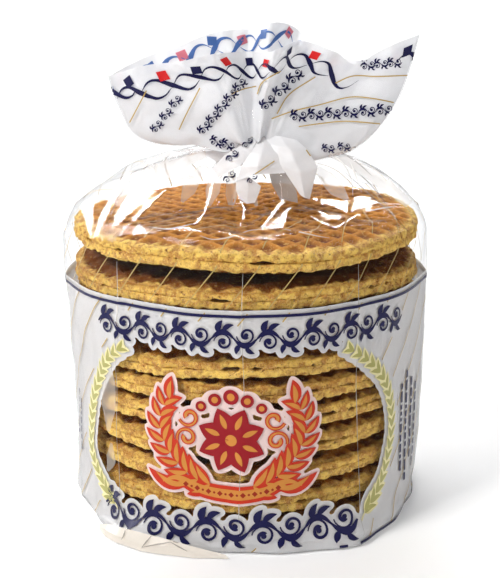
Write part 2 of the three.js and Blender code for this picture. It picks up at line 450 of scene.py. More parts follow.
class Ink(Enum):
    """The inks, each with how far it lies under the film's outer face, or over it where that is under 0."""

    WHITE = (InkFinish("white_ink", srgb(242, 243, 246), 0.92, 0.25), 0.25)
    FOLDED = (InkFinish("folded_white_ink", srgb(250, 251, 254), 0.98, 0.25, 0.32), 0.0)
    # Painted shade: a grey white for the fold that lies in the shadow under the roof fold.
    REVERSE = (InkFinish("white_ink_painted_shade", srgb(176, 168, 162), 0.88, 0.2, 0.4), 0.0)
    FOOT = (InkFinish("foot_white", srgb(236, 228, 217), 0.97, 0.12, 0.35), 0.0)
    # Painted light and shade on the clear film: crease highlights, a whitish veil that is partly haze and
    # partly painted sheen, and dark crease shade.
    CREASE = (InkFinish("film_crease_highlight", srgb(250, 246, 240), 0.5, 0.3, 0.2), -0.05)
    HAZE_AND_SHEEN = (InkFinish("film_haze_and_sheen", srgb(252, 248, 242), 0.3, 0.3, 0.3), -0.04)
    CREASE_SHADE = (InkFinish("film_crease_shade", srgb(96, 80, 66), 0.5, 0.1, 0.3), -0.05)
    BLUSH = (InkFinish("blush_ink", srgb(247, 220, 216), 1.0, 0.1), 0.25)
    SHOW_BLUE = (InkFinish("show_through_blue", srgb(84, 124, 192), 0.9, 0.3), 0.4)
    SHOW_RED = (InkFinish("show_through_red", srgb(238, 140, 156), 0.9, 0.3), 0.4)
    SCARLET = (InkFinish("scarlet_ink", srgb(196, 50, 26)), -0.06)
    CRIMSON = (InkFinish("crimson_ink", srgb(150, 18, 30)), -0.09)
    RED = (InkFinish("red_ink", srgb(214, 34, 36)), -0.09)
    NAVY = (InkFinish("navy_ink", srgb(15, 15, 68)), -0.09)
    WHEAT = (InkFinish("wheat_ink", srgb(170, 165, 96)), -0.09)
    STRAW = (InkFinish("straw_ink", srgb(234, 226, 172)), -0.06)
    TAN = (InkFinish("tan_ink", srgb(206, 136, 60)), -0.12)
    MAROON = (InkFinish("maroon_ink", srgb(150, 40, 18)), -0.15)
    GOLD = (InkFinish("gold_ink", srgb(190, 163, 100)), -0.06)

    def __init__(self, finish: InkFinish, depth: float) -> None:
        """Keeps the ink's finish and depth."""
        self.finish = finish
        self.depth = depth


@dataclass(frozen=True)
class BakedWafer:
    """Baked wafer: orange-brown pressed faces with browner hollows, and a golden crumb at the rim; the same
    dark brown paints shade on hidden faces and at the rims' upper edges.
    """

    ridge: Color = srgb(204, 134, 40)
    # The dark brown of the lattice's hollows, which also paints the shade on hidden faces and under each
    # wafel's rim.
    pit: Color = srgb(104, 48, 10)
    crumb: Color = srgb(247, 209, 108)
    crumb_shade: Color = srgb(196, 140, 74)
    # Flecks on the crumb: lighter crumbs, with painted highlights in them.
    sparkle: Color = srgb(252, 226, 150)
    scorch: Color = srgb(112, 60, 24)
    hole: Color = srgb(92, 50, 18)
    # The sizes of scorched patches, crumb and dust, as lumps in a metre.
    patches: float = 70.0
    crumbs: float = 1000.0
    dust: float = 2600.0
    shine: float = 0.08
    glow: float = 0.04
    glow_reach: tuple = (1.0, 0.5, 0.2)

    def material(self) -> Material:
        """Builds it from the mesh's own values: how dark the hollows and painted shade make it, the rim and
        the grain.
        """
        s = Shader("baked_wafer")
        pit, rim, grain = s.value("pit"), s.value("rim"), s.value("grain")
        patches = s.ramp(s.noise(self.patches, 3.0, 0.6), 0.42, 0.68)
        fine, dust = s.noise(self.crumbs, 3.0, 0.75), s.noise(self.dust, 2.0, 0.6)
        face = s.blend(s.math("MULTIPLY", pit, 0.9), self.ridge, self.pit)
        face = s.blend(s.math("MULTIPLY", patches, 0.45), face, self.scorch)
        crumbs = s.math("ADD", s.math("MULTIPLY", grain, 0.45), s.math("MULTIPLY", fine, 0.9))
        side = s.blend(s.ramp(crumbs, 0.48, 0.86), self.crumb_shade, self.crumb)
        side = s.blend(s.ramp(fine, 0.4, 0.3), side, self.hole)
        color = s.blend(rim, face, side)
        color = s.blend(s.math("MULTIPLY", s.ramp(fine, 0.54, 0.7), 0.4), color, self.crumb)
        bright = s.math("MULTIPLY", s.math("MULTIPLY", s.ramp(dust, 0.56, 0.68), 0.5), rim)
        color = s.blend(bright, color, self.sparkle)
        relief = s.math("ADD", fine, s.math("MULTIPLY", dust, 0.5))
        return s.finish(s.surface(
            "Principled", Base_Color=color, Roughness=0.85, Normal=s.bump(relief, 0.9, 0.7),
            Specular_IOR_Level=self.shine, Subsurface_Weight=self.glow, Subsurface_Radius=self.glow_reach,
            Subsurface_Scale=0.5 * MM))


@dataclass(frozen=True)
class Syrup:
    """Dark caramel syrup between the two wafers."""

    color: Color = srgb(96, 52, 20)
    edge: Color = srgb(60, 30, 12)
    roughness: float = 0.28
    lumps: float = 500.0

    def material(self) -> Material:
        """Builds it."""
        s = Shader("syrup")
        lumps = s.noise(self.lumps, 3.0, 0.6)
        return s.finish(s.surface("Principled", Base_Color=s.blend(lumps, self.edge, self.color),
                                  Roughness=self.roughness, Normal=s.bump(lumps, 0.5, 0.4)))


@dataclass(frozen=True)
class TieStrip:
    """Plain white plastic strip with fine lengthwise ribs."""

    color: Color = srgb(236, 236, 234)
    shade: Color = srgb(205, 205, 206)
    roughness: float = 0.36
    ribs: float = 520.0
    lumps: float = 600.0

    def material(self) -> Material:
        """Builds it."""
        s = Shader("tie_strip")
        place = s.add("ShaderNodeTexCoord").outputs["Object"]
        ribs = s.add("ShaderNodeTexWave", Vector=place, Scale=self.ribs, Distortion=0.6)
        ribs.bands_direction = "Z"
        color = s.blend(s.math("MULTIPLY", s.noise(self.lumps), 0.35), self.color, self.shade)
        return s.finish(s.surface("Principled", Base_Color=color, Roughness=self.roughness,
                                  Normal=s.bump(ribs.outputs["Fac"], 0.3, 0.12)))


@dataclass(frozen=True)
class Paper:
    """The plain white sweep that the bag stands on."""

    color: Color = (0.93, 0.93, 0.935)
    shade: Color = (0.88, 0.88, 0.885)
    glow: float = 0.1
    lumps: float = 14.0

    def material(self) -> Material:
        """Builds it."""
        s = Shader("white_sweep")
        color = s.blend(s.math("MULTIPLY", s.noise(self.lumps), 0.04), self.color, self.shade)
        return s.finish(s.surface("Principled", Base_Color=color, Roughness=0.85, Specular_IOR_Level=0.1,
                                  Emission_Color=PURE_WHITE, Emission_Strength=self.glow))


# ---- The film ----


class Ply(Enum):
    """The two plies of the fan, by the side of the neck that they stand on."""

    FRONT = -1
    BACK = 1


@dataclass
class FanShape:
    """The spread mouth of the bag: two plies that meet at a fold at each side."""

    neck_x: float = 3.5
    foot_z: float = 109.5
    foot_half_width: float = 3.2
    foot_half_depth: float = 2.6
    length: float = 46.0
    fold_share: float = 0.3
    ruffle_depth: float = 2.2
    ruffle_turns: float = 7
    ruffle_start: float = 0.9
    # The pleats: where they start and end over the film's width, and how softly, in shares of it.
    pleat_band: tuple = (0.12, 0.84, 0.16)
    pleat_depth: float = 3.2
    pleat_turns: float = 3.4
    pleat_sink: float = 1.2
    # How far the film's foot hangs down and out over the tie, and how far its sides belly down and out.
    hang: tuple = (4.6, 3.4)
    belly: tuple = (1.8, 2.6)
    # The share of the way up at which the hang is full, and the share over which it goes again.
    hang_rise: tuple = (0.08, 0.3)
    hang_waves: tuple = (0.22, 4.5, 0.7)
    back_hang: float = 0.3
    belly_top: float = 0.7
    belly_start: float = 0.16
    side_share: float = 0.06
    front_mouth: tuple = (
        (-39.5, 0, 124.5), (-30, -4, 127.3), (-21, -6, 128.6), (-10.5, -8, 130.9), (-2, -5, 132.2),
        (7, -9, 132.6), (16, -6, 134.6), (25, -7, 132), (31, -3, 127.8), (39.5, -5, 132.6), (49, -2, 136))
    back_mouth: tuple = (
        (-39.5, 0, 124.5), (-29.5, 6, 129.2), (-20, 8, 132), (-8, 6, 137), (2, 9, 138), (11.5, 6, 139),
        (20, 7, 134), (31, 4, 128.5), (40, 4, 131), (49, -2, 136))
    left_fold: tuple = ((-4, 109), (-13, 106.4), (-24, 104.5), (-32.5, 107.5), (-36.4, 114.8), (-38.6, 120.2))
    right_fold: tuple = (
        (10.5, 108.6), (16, 105.4), (22, 103.2), (31, 103.4), (37, 107.8), (43.5, 117.5), (46.8, 127))
    # How the film is shared over the mouth: shares of the film's width against shares of the mouth's length.
    film_shares: tuple = (0.0, 0.26, 0.68, 1.0)
    mouth_shares: tuple = (0.0, 0.32, 0.64, 1.0)
    spread_rate: float = 1.6

    def __post_init__(self) -> None:
        """Draws the lines of the mouth and of the folds at its sides."""
        self.mouths = {Ply.FRONT: SmoothLine(self.front_mouth), Ply.BACK: SmoothLine(self.back_mouth)}
        self.sides = [(self._side(0.0, self.left_fold, self.front_mouth[0]), 0.0),
                      (self._side(1.0, self.right_fold, self.front_mouth[-1]), 1.0)]

    def foot(self, across: Array | float, ply: Ply) -> Array:
        """Places on the small oval where a ply leaves the neck."""
        turn = math.pi * (1 - np.asarray(across, float))
        x = self.neck_x + self.foot_half_width * np.cos(turn)
        y = ply.value * self.foot_half_depth * np.sin(turn)
        return np.stack([x, y, np.full_like(turn, self.foot_z)], -1)

    def _side(self, across: float, points: Sequence, corner: tuple) -> SmoothLine:
        """The line of the fold at one side, from the foot through places in X and Z to the mouth's corner."""
        foot = self.foot(across, Ply.BACK)
        steps = len(points) + 1
        middle = [(x, mix(foot[1], corner[1], (i + 1) / steps), z) for i, (x, z) in enumerate(points)]
        return SmoothLine([tuple(foot), *middle, corner])

    def place(self, share: Array, up: float, ply: Ply) -> Array:
        """Places on one row of a ply.

        Args:
            share: Shares of the film's width, from 0 at the left fold to 1 at the right one.
            up: The row's share of the way from the foot to the mouth.
            ply: Which ply.

        Returns:
            Points in millimetres.
        """
        across = np.interp(share, self.film_shares, self.mouth_shares)
        across = mix(share, across, smooth(up * self.spread_rate))
        points = mix(self.foot(share, ply), self.mouths[ply].at(across), up)
        for line, end in self.sides:
            straight = mix(self.foot(end, ply), self.mouths[ply].at(end), up)
            weight = 1 - smooth(np.abs(across - end) / self.fold_share)
            points += weight[:, None] * (line.at(up) - straight)
        ruffle = fold(TAU * self.ruffle_turns * across + self.ruffle_start)
        points[:, 1] += self.ruffle_depth * np.sin(math.pi * share) * up * ruffle
        self._pleat(points, share, up, ply)
        self._drape(points, share, up, ply)
        return points

    def _pleat(self, points: Array, share: Array, up: float, ply: Ply) -> None:
        """Folds a row's middle into pleats; it changes the points and takes the rest as place does."""
        start, end, soft = self.pleat_band
        gathered = smooth((share - start) / soft) * smooth((end - share) / soft)
        phase = TAU * self.pleat_turns * (share + 0.02 * np.sin(9 * share)) + 0.7 * ply.value
        points[:, 1] += self.pleat_depth * gathered * up ** 0.8 * fold(phase)
        points[:, 2] -= self.pleat_sink * gathered * up * np.abs(fold(phase * 0.5 + 0.4))

    def _drape(self, points: Array, share: Array, up: float, ply: Ply) -> None:
        """Hangs a row's film over the tie and bellies out its sides; it takes the same as _pleat."""
        full, fade = self.hang_rise
        depth, turns, start = self.hang_waves
        rise = float(smooth(up / full) * (1 - smooth((up - full) / fade)))
        inward = smooth(np.minimum(share, 1 - share) / self.side_share)
        hang = rise * (1 + depth * fold(TAU * turns * share + start))
        belly = 0.0
        if ply is Ply.FRONT:
            hang = hang * mix(self.back_hang, 1.0, inward)
            beside = smooth((np.abs(share - 0.5) - self.belly_start) / self.belly_start)
            belly = math.sin(math.pi * min(1.0, up / self.belly_top)) * inward * beside
        else:
            hang = hang * self.back_hang
        points[:, 2] -= self.hang[0] * hang + self.belly[0] * belly
        points[:, 1] += ply.value * (self.hang[1] * hang + self.belly[1] * belly)


@dataclass
class FilmShape:
    """The whole film as rings of points from the middle of its base up to its mouth."""

    bag_radius: float = 53.0
    least_radius: float = 51.4
    stack_top: float = 87.0
    shoulder_foot: float = 81.0
    neck_foot: float = 104.5
    neck_length: float = 7.0
    neck_x: float = 3.5
    shoulder_radius: float = 5.7
    dome_fullness: float = 0.6
    # The foot: its rounded edge, its height over the floor, and the film folded in under the stack.
    foot_inset: float = 1.5
    foot_height: float = 2.5
    floor_gap: float = 0.15
    base_length: float = 50.0
    base_wrinkles: int = 23
    # Waves of the slack side: depth, number and lean. Puckers at its foot: depth, number and height.
    slack_waves: tuple = ((0.45, 5, 0.04), (0.3, 11, -0.05))
    pucker: tuple = (0.6, 17, 7.0)
    # Corners of the foot: direction and half their width in radians, reach, and height.
    corners: tuple = ((-2.2, 0.36, 4.8, 8.0), (-0.98, 0.56, 4.0, 8.0), (1.25, 0.5, 4.0, 8.0))
    sag_half_angle: float = 0.75
    sag_blend: float = 0.85
    sag_clearance: float = 2.0
    # The low folds in front of the neck: direction and half width in degrees, reach, and height of the tip.
    panels: tuple = ((-41.0, 26.0, 14.5, 97.6), (-102.0, 26.0, 10.0, 97.0), (-147.0, 18.0, 12.5, 98.0))
    panel_sharpness: float = 2.0
    valley: tuple = (8.3, 97.6)
    lip_width: float = 3.2
    shoulder_pleats: int = 13
    pleat_depth: float = 2.2
    pleat_start: float = 0.8
    # Ridges that the flat film keeps up its sides: their places in u, height, half width, and start.
    edges: tuple = (-38.0, -1.6, 32.0, 74.0, 128.0, 166.0, 205.0)
    edge_height: float = 0.5
    edge_reach: float = 3.5
    edge_rise: float = 6.0
    # The looser side: direction in degrees, half width and fade in radians, and how much deeper it creases.
    loose_side: tuple = (-145.0, 0.35, 0.3, 1.6)
    # Depths of the broad, the middling and the small facets, and of the long shards.
    side_facets: tuple = (0.4, 0.2, 0.05)
    foot_facets: tuple = (0.4, 0.7, 1.0)
    foot_fade: float = 8.0
    shoulder_facets: tuple = (1.0, 0.7, 0.25)
    shard_depth: float = 1.3
    shard_lean: float = 0.22
    fan_facets: tuple = (1.1, 0.9, 0.35)
    fan_lift: tuple = (0.9, 0.5, 0.3)
    # The gather at the top of the shoulder: depth and number of its folds, and the height of its lip.
    bunch_depth: float = 0.8
    bunch_folds: int = 17
    lip_height: float = 1.6
    # The rings through the tie: radius, height and depth of the folds.
    neck_steps: tuple = (
        (5.0, 105.1, 0.2), (3.2, 105.0, 0.1), (2.8, 106.3, 0.35), (2.8, 108.2, 0.35), (3.1, 109.2, 0.35),
        (4.2, 109.7, 0.3))
    neck_folds: int = 24
    neck_pitch: float = 1.1
    columns: int = 384
    shoulder_length: float = 58.0
    fan: FanShape = field(default_factory=FanShape)

    def __post_init__(self) -> None:
        """Sets the rings' directions and draws the creases."""
        column = np.arange(self.columns)
        self.angle = math.pi + TAU * column / self.columns
        self.around = TAU * self.bag_radius
        self.u = (column / self.columns - 0.25) * self.around
        self.facets = (CreaseField(11, self.around, (24.0, 26.0)), CreaseField(12, self.around, (11.0, 13.0)),
                       CreaseField(13, self.around, (5.5, 6.5)))
        self.shards = CreaseField(14, self.around, (11.0, 27.0), 0.3)

    def creases(self, v: float, depths: tuple[float, float, float]) -> Array:
        """The facets' height along one ring, from the depths of the three sizes of facet."""
        row = np.full_like(self.u, v)
        return sum(depth * pattern.at(self.u, row) for depth, pattern in zip(depths, self.facets))

    def side_radius(self, z: float) -> Array:
        """The radius of the film round the stack at one height."""
        waves = [depth * (np.sin(count * self.angle + lean * z) - 1)
                 for depth, count, lean in self.slack_waves]
        depth, count, height = self.pucker
        puckers = depth * fold(count * self.angle) * max(0.0, 1 - z / height)
        reach = [far * np.clip(1 - turn_between(self.angle, middle) / half, 0, 1) * max(0.0, 1 - z / tall)
                 for middle, half, far, tall in self.corners]
        return self.bag_radius + sum(waves) + puckers + np.max(reach, axis=0)

    def side_ring(self, z: float) -> Array:
        """The side's radius at one height, with its ridges and creases in it."""
        half = self.around / 2
        away = np.abs((self.u[:, None] - np.array(self.edges) + half) % self.around - half).min(axis=1)
        ridge = self.edge_height * np.clip(1 - away / self.edge_reach, 0, 1) * min(1.0, z / self.edge_rise)
        middle, width, fade, deeper = self.loose_side
        slack = 1 + deeper * (1 - smooth((turn_between(self.angle, math.radians(middle)) - width) / fade))
        crease = self.creases(z, self.side_facets) * slack
        crease = crease + math.exp(-z / self.foot_fade) * self.creases(z + 300, self.foot_facets)
        return np.maximum(self.side_radius(z) + crease + ridge, self.least_radius)

    def fall(self, along: Array, reach: float, tip: float) -> Array:
        """The height of film that falls from the neck to a tip, and from there on to the top wafel."""
        share = np.clip((along - self.shoulder_radius) / (reach - self.shoulder_radius), 0, 1)
        lip = mix(tip, self.stack_top + self.sag_clearance, smooth((along - reach) / self.lip_width))
        return np.where(along < reach, mix(self.neck_foot, tip, share), lip)

    def sunk_height(self, radius: Array) -> Array:
        """The height of the sunk film: low folds, with a valley between them."""
        valley = self.fall(radius, *self.valley)
        heights = [valley]
        for middle, half, reach, tip in self.panels:
            turn = turn_between(self.angle, math.radians(middle))
            weight = smooth(self.panel_sharpness * (1 - turn / math.radians(half)))
            heights.append(mix(valley, self.fall(radius, reach, tip), weight))
        return np.max(heights, axis=0)

    def shoulder_height(self, radius: Array) -> Array:
        """The height of the film over the top wafel, for one radius in each direction."""
        near = np.clip((radius - self.shoulder_radius) / (self.bag_radius - self.shoulder_radius), 0, 1)
        dome = mix(self.shoulder_foot, self.neck_foot, (1 - near ** 2) ** self.dome_fullness)
        share = np.clip((self.bag_radius - radius) / (self.bag_radius - self.shoulder_radius), 0, 1)
        pleat = 0.5 + 0.5 * fold(self.shoulder_pleats * self.angle + self.pleat_start)
        taut = dome - self.pleat_depth * pleat * np.sin(math.pi * share)
        sag = 1 - smooth((turn_between(self.angle, 1.5 * math.pi) - self.sag_half_angle) / self.sag_blend)
        return mix(taut, np.minimum(dome, self.sunk_height(radius)), sag)

    def ring(self, radius: Array | float, z: Array | float, x: float = 0.0) -> Array:
        """A ring of points, moved along X."""
        return polar(radius, self.angle, z) + np.array([x, 0.0, 0.0])

    def base_rings(self) -> Rings:
        """The rings under the stack and round its foot, each with its v."""
        rings = []
        edge = self.side_radius(0.0) - self.foot_inset
        for share in np.linspace(0.05, 0.94, 9):
            wrinkle = 0.25 + 0.2 * (1 + fold(self.base_wrinkles * self.angle + 7 * share)) * share
            rings.append((self.ring(edge * share, wrinkle), -self.base_length * (1 - share)))
        for turn in np.linspace(0, math.pi / 2, 4):
            z = self.foot_height * (1 - math.cos(turn))
            radius = self.side_radius(z) - self.foot_inset * (1 - math.sin(turn))
            rings.append((self.ring(radius, z + self.floor_gap), z))
        return rings

    def shoulder_rings(self) -> Rings:
        """The rings from the side in to the neck, each with its v."""
        rings = []
        outer = self.side_ring(self.shoulder_foot)
        for share in np.linspace(0, 1, 89)[1:]:
            v = self.shoulder_foot + self.shoulder_length * share
            radius = mix(outer, self.shoulder_radius, share)
            height = self.shoulder_height(np.minimum(radius, self.bag_radius))
            lively = math.sin(math.pi * min(1.0, share * 1.1)) ** 0.7
            shards = self.shards.at(self.u + self.shard_lean * v, np.full_like(self.u, v))
            crease = self.creases(v, self.shoulder_facets) * lively + self.shard_depth * lively * shards
            tight = smooth((share - 0.5) / 0.5)
            bunch = self.bunch_depth * tight * fold(self.bunch_folds * self.angle + 2 * share)
            bunch = bunch * (1 - smooth((share - 0.9) / 0.1) * 0.6)
            lip = self.lip_height * (0.7 + 0.3 * fold(5 * self.angle + 0.4)) * smooth((share - 0.93) / 0.06)
            height = height + crease * (1 - 0.75 * tight) + bunch + lip
            over_stack = np.where(radius < self.bag_radius - 2.5, self.stack_top + 0.6, 0.0)
            rings.append((self.ring(radius, np.maximum(height, over_stack), self.neck_x * share), v))
        return rings

    def neck_rings(self) -> Rings:
        """The rings through the tie, each with its v."""
        start = self.shoulder_foot + self.shoulder_length
        gather = fold(self.neck_folds * self.angle)
        return [(self.ring(radius + depth * gather, z, self.neck_x), start + self.neck_pitch * (n + 1))
                for n, (radius, z, depth) in enumerate(self.neck_steps)]

    def fan_rings(self) -> Rings:
        """The rows of the two plies as rings, each with its v."""
        start = self.shoulder_foot + self.shoulder_length + self.neck_length
        half = self.columns // 2
        share = np.arange(half) / half
        both = np.concatenate([share, 1 - share])
        away = smooth(np.minimum(both, 1 - both) / self.fan.side_share)
        rings = []
        for up in [*np.linspace(0.03, 0.17, 8), *np.linspace(0.19, 1, 50)]:
            plies = [self.fan.place(share, up, Ply.FRONT), self.fan.place(1 - share, up, Ply.BACK)]
            row = np.concatenate(plies)
            v = start + self.fan.length * up
            row[:, 1] += self.creases(v, self.fan_facets) * up ** 0.6 * away
            row[:, 2] += 0.25 * self.creases(v + 90, self.fan_lift) * up
            rings.append((row, v))
        return rings

    def rings(self) -> tuple[Array, Array]:
        """All the rings: their points, as rings by columns by three, and each ring's v."""
        sides = [(self.ring(self.side_ring(z), z), z) for z in np.linspace(3.2, self.shoulder_foot, 76)]
        whole = self.base_rings() + sides + self.shoulder_rings() + self.neck_rings() + self.fan_rings()
        return np.array([points for points, _ in whole]), np.array([v for _, v in whole])


@dataclass(frozen=True)
class LooseFold:
    """A fold of loose film that stands off the rest, as facets between rows of corners."""

    name: str
    ink: Ink
    # Rows of corners in X, Y and Z, from the neck down.
    rows: tuple
    steps: int = 10
    crumple: float = 0.22
    crumple_size: float = 2.6

    def mesh(self) -> tuple[Array, Array]:
        """Its points and faces."""
        corners = np.array(self.rows, float)
        tall, wide = corners.shape[0] - 1, corners.shape[1] - 1
        down = np.linspace(0, tall, tall * self.steps + 1)
        across = np.linspace(0, wide, wide * self.steps + 1)
        r0, c0 = np.minimum(down.astype(int), tall - 1), np.minimum(across.astype(int), wide - 1)
        fr, fc = (down - r0)[:, None, None], (across - c0)[None, :, None]
        upper = mix(corners[r0][:, c0], corners[r0][:, c0 + 1], fc)
        lower = mix(corners[r0 + 1][:, c0], corners[r0 + 1][:, c0 + 1], fc)
        points = mix(upper, lower, fr)
        points[..., 1] += self.crumple * LatticeNoise(31).at(points, self.crumple_size)
        return points.reshape(-1, 3), grid_faces(len(down), len(across))

    def build(self) -> Piece:
        """Makes it."""
        return make_film_piece(self.name, *self.mesh(), self.ink.finish.material())


@dataclass
class Gather:
    """The loose folds in front of the neck and the foot, and the flat facets of the creased clear film."""

    folds: tuple = (
        # Painted shade: this fold's grey ink stands for film in the shadow under the roof fold.
        LooseFold("fold_back", Ink.REVERSE, (
            ((6.2, -9.3, 99.4), (11.4, -10.0, 99.4)), ((7.3, -9.9, 94.8), (14.4, -11.3, 92.8)),
            ((9.6, -10.5, 90.6), (14.7, -11.9, 89.7)))),
        LooseFold("fold_left", Ink.FOLDED, (
            ((2.2, -4.0, 107.8), (3.1, -5.6, 106.6)), ((-1.8, -6.0, 105.1), (0.7, -8.4, 102.3)),
            ((-6.1, -7.0, 102.7), (-1.8, -9.8, 100.0)), ((-9.8, -8.0, 98.8), (-7.8, -9.8, 96.6)))),
        LooseFold("fold_flap", Ink.FOLDED, (
            ((-2.9, -10.5, 96.9), (0.8, -12.0, 97.2), (4.2, -12.0, 94.6)),
            ((-2.9, -11.5, 93.3), (0.5, -12.8, 93.0), (3.6, -12.6, 92.5)),
            ((-1.8, -12.0, 90.8), (0.2, -13.2, 89.7), (2.5, -13.2, 90.0)))),
        LooseFold("fold_roof", Ink.FOLDED, (
            ((3.8, -4.4, 107.2), (5.1, -5.4, 107.3), (7.2, -6.2, 106.3)),
            ((1.5, -8.6, 103.8), (4.4, -10.6, 103.5), (9.0, -9.3, 103.2)),
            ((-1.2, -10.3, 100.1), (3.3, -12.9, 100.5), (10.4, -10.9, 99.8)),
            ((-2.9, -11.0, 95.8), (2.7, -13.6, 98.1), (11.0, -11.6, 98.2)))),
        LooseFold("fold_kite", Ink.FOLDED, (
            ((4.2, -4.5, 107.8), (9.4, -6.0, 108.0), (14.4, -7.0, 107.0)),
            ((7.0, -7.4, 105.8), (12.6, -10.2, 104.6), (17.5, -8.5, 104.3)),
            ((10.1, -11.2, 99.8), (15.1, -13.0, 98.8), (20.3, -10.5, 99.8)),
            ((15.3, -13.7, 92.3), (16.6, -14.4, 91.6), (18.0, -13.5, 91.1)))),
        LooseFold("fold_foot", Ink.FOOT, (
            ((-41.6, -35.4, 1.3), (-39.2, -39.2, 3.2), (-35.4, -43.0, 4.3), (-26.7, -48.0, 4.4),
             (-20.9, -50.2, 4.0), (-12.8, -52.7, 2.9), (-5.5, -53.7, 1.3)),
            ((-41.7, -36.5, 0.8), (-39.6, -40.8, 2.4), (-36.0, -44.6, 2.2), (-27.5, -49.3, 1.8),
             (-21.8, -51.4, 2.8), (-13.8, -53.2, 1.5), (-5.0, -53.9, 0.8)),
            ((-41.5, -37.2, 0.3), (-39.4, -41.2, 0.3), (-35.8, -44.9, 0.3), (-29.0, -49.4, 0.3),
             (-22.4, -51.7, 0.3), (-14.5, -53.4, 0.3), (-4.5, -54.1, 0.3))), crumple=0.12),
    )
    facets: tuple = (
        ((-46.1, -20.1, 90.8), (-42.3, -19.2, 91.6), (-41.6, -26.7, 87.3), (-41.7, -32.2, 84.0)),
        ((-32.0, -3.7, 100.7), (-31.2, -3.2, 101.1), (-35.6, -14.1, 93.8), (-37.7, -21.5, 89.0),
         (-39.6, -19.9, 89.8), (-36.4, -11.9, 95.1)),
        ((-39.4, -22.4, 90.6), (-37.4, -24.2, 89.7), (-39.9, -32.4, 84.6), (-40.8, -33.3, 84.0),
         (-40.2, -26.9, 87.8)),
        ((-31.4, -24.0, 95.7), (-23.0, -24.1, 96.6), (-26.1, -27.4, 94.3), (-35.5, -37.0, 87.5),
         (-34.9, -32.4, 90.4)),
        ((-21.9, -24.7, 96.0), (-20.7, -24.0, 96.6), (-25.7, -29.2, 92.7), (-30.1, -34.6, 88.9),
         (-30.7, -33.8, 89.3), (-26.3, -28.4, 93.1)),
        ((-30.6, -34.3, 88.9), (-31.2, -36.6, 87.4), (-33.3, -39.3, 85.6), (-33.1, -37.0, 87.0)),
        ((-27.8, -42.4, 90.5), (-25.2, -46.8, 88.3), (-28.8, -46.5, 88.0), (-29.2, -45.1, 88.7)),
        ((-18.6, -42.3, 89.0), (-15.9, -42.6, 89.5), (-13.3, -43.8, 89.4), (-11.5, -45.5, 88.7),
         (-15.1, -44.2, 88.7)),
        ((9.2, -35.0, 94.9), (10.8, -34.6, 95.1), (6.7, -41.4, 91.4), (4.3, -45.4, 89.2),
         (3.8, -45.2, 89.3)),
        ((12.6, -35.9, 94.0), (7.3, -41.9, 90.8), (4.9, -44.8, 89.2), (9.4, -44.6, 89.2),
         (11.4, -37.9, 92.9)),
        ((17.8, -23.4, 93.3), (22.2, -24.3, 93.1), (27.7, -25.4, 92.8), (27.8, -29.9, 90.2),
         (24.3, -27.2, 91.5), (20.5, -25.2, 92.4)),
        ((29.9, -22.2, 93.2), (31.6, -22.0, 93.5), (33.9, -22.4, 93.4), (36.2, -24.8, 92.2),
         (31.6, -26.0, 91.1), (28.4, -27.5, 90.0)),
        ((18.5, -31.1, 91.7), (21.7, -33.0, 90.8), (24.4, -33.8, 90.5), (26.5, -34.7, 90.1),
         (25.3, -35.1, 89.7), (21.3, -35.1, 89.6)),
        ((16.9, -38.9, 91.4), (19.2, -40.6, 90.6), (23.4, -43.3, 89.3), (27.6, -40.0, 91.4),
         (31.3, -38.6, 92.4), (27.5, -40.7, 91.0), (23.4, -43.8, 89.0), (19.2, -41.1, 90.3)),
        ((-8.1, -22.1, 98.9), (-9.4, -24.6, 97.6), (-11.5, -35.9, 91.4), (-14.0, -40.2, 89.2),
         (-12.4, -39.1, 89.7), (-10.5, -34.4, 92.1), (-8.4, -24.0, 97.9)),
        ((-3.1, -33.1, 97.8), (-0.7, -40.3, 93.6), (-1.0, -44.7, 91.2), (-2.3, -48.4, 89.2),
         (-0.3, -43.4, 91.9), (-0.1, -40.3, 93.6)),
    )

    def build(self) -> list[Piece]:
        """Makes the folds, and all the facets as one piece."""
        points = np.array([corner for facet in self.facets for corner in facet])
        starts = np.cumsum([0] + [len(facet) for facet in self.facets])
        faces = [list(range(first, last)) for first, last in zip(starts[:-1], starts[1:])]
        look = ClearFilm(waviness=0.01, name="flat_film").material()
        facets = make_film_piece("film_facets", points, faces, look, soft=False)
        return [loose.build() for loose in self.folds] + [facets]


class FilmMap:
    """Finds places on the finished film from u and v."""

    def __init__(self, shape: FilmShape) -> None:
        """Makes the rings and their outward normals."""
        self.shape = shape
        self.grid, self.ways = shape.rings()
        along = np.gradient(self.grid, axis=0)
        round_it = (np.roll(self.grid, -1, axis=1) - np.roll(self.grid, 1, axis=1)) / 2
        normals = np.cross(round_it, along)
        self.normals = normals / np.maximum(np.linalg.norm(normals, axis=-1, keepdims=True), 1e-9)

    def at(self, u: Array, v: Array, depth: float) -> Array:
        """Places just under the film's outer face.

        Args:
            u: The way round from the middle of the front, in millimetres.
            v: The way up.
            depth: How far under the film's face the places lie.

        Returns:
            Points in millimetres.
        """
        column = (np.asarray(u, float) / self.shape.around + 0.25) * self.shape.columns
        row = np.interp(v, self.ways, np.arange(len(self.ways)))
        c0, r0 = np.floor(column).astype(int), np.minimum(np.floor(row).astype(int), len(self.ways) - 2)
        fc, fr = (column - c0)[..., None], (row - r0)[..., None]
        left, right = c0 % self.shape.columns, (c0 + 1) % self.shape.columns

        def sample(table: Array) -> Array:
            """A table's value between its four nearest points."""
            low = mix(table[r0, left], table[r0, right], fc)
            high = mix(table[r0 + 1, left], table[r0 + 1, right], fc)
            return mix(low, high, fr)

        return sample(self.grid) - depth * sample(self.normals)


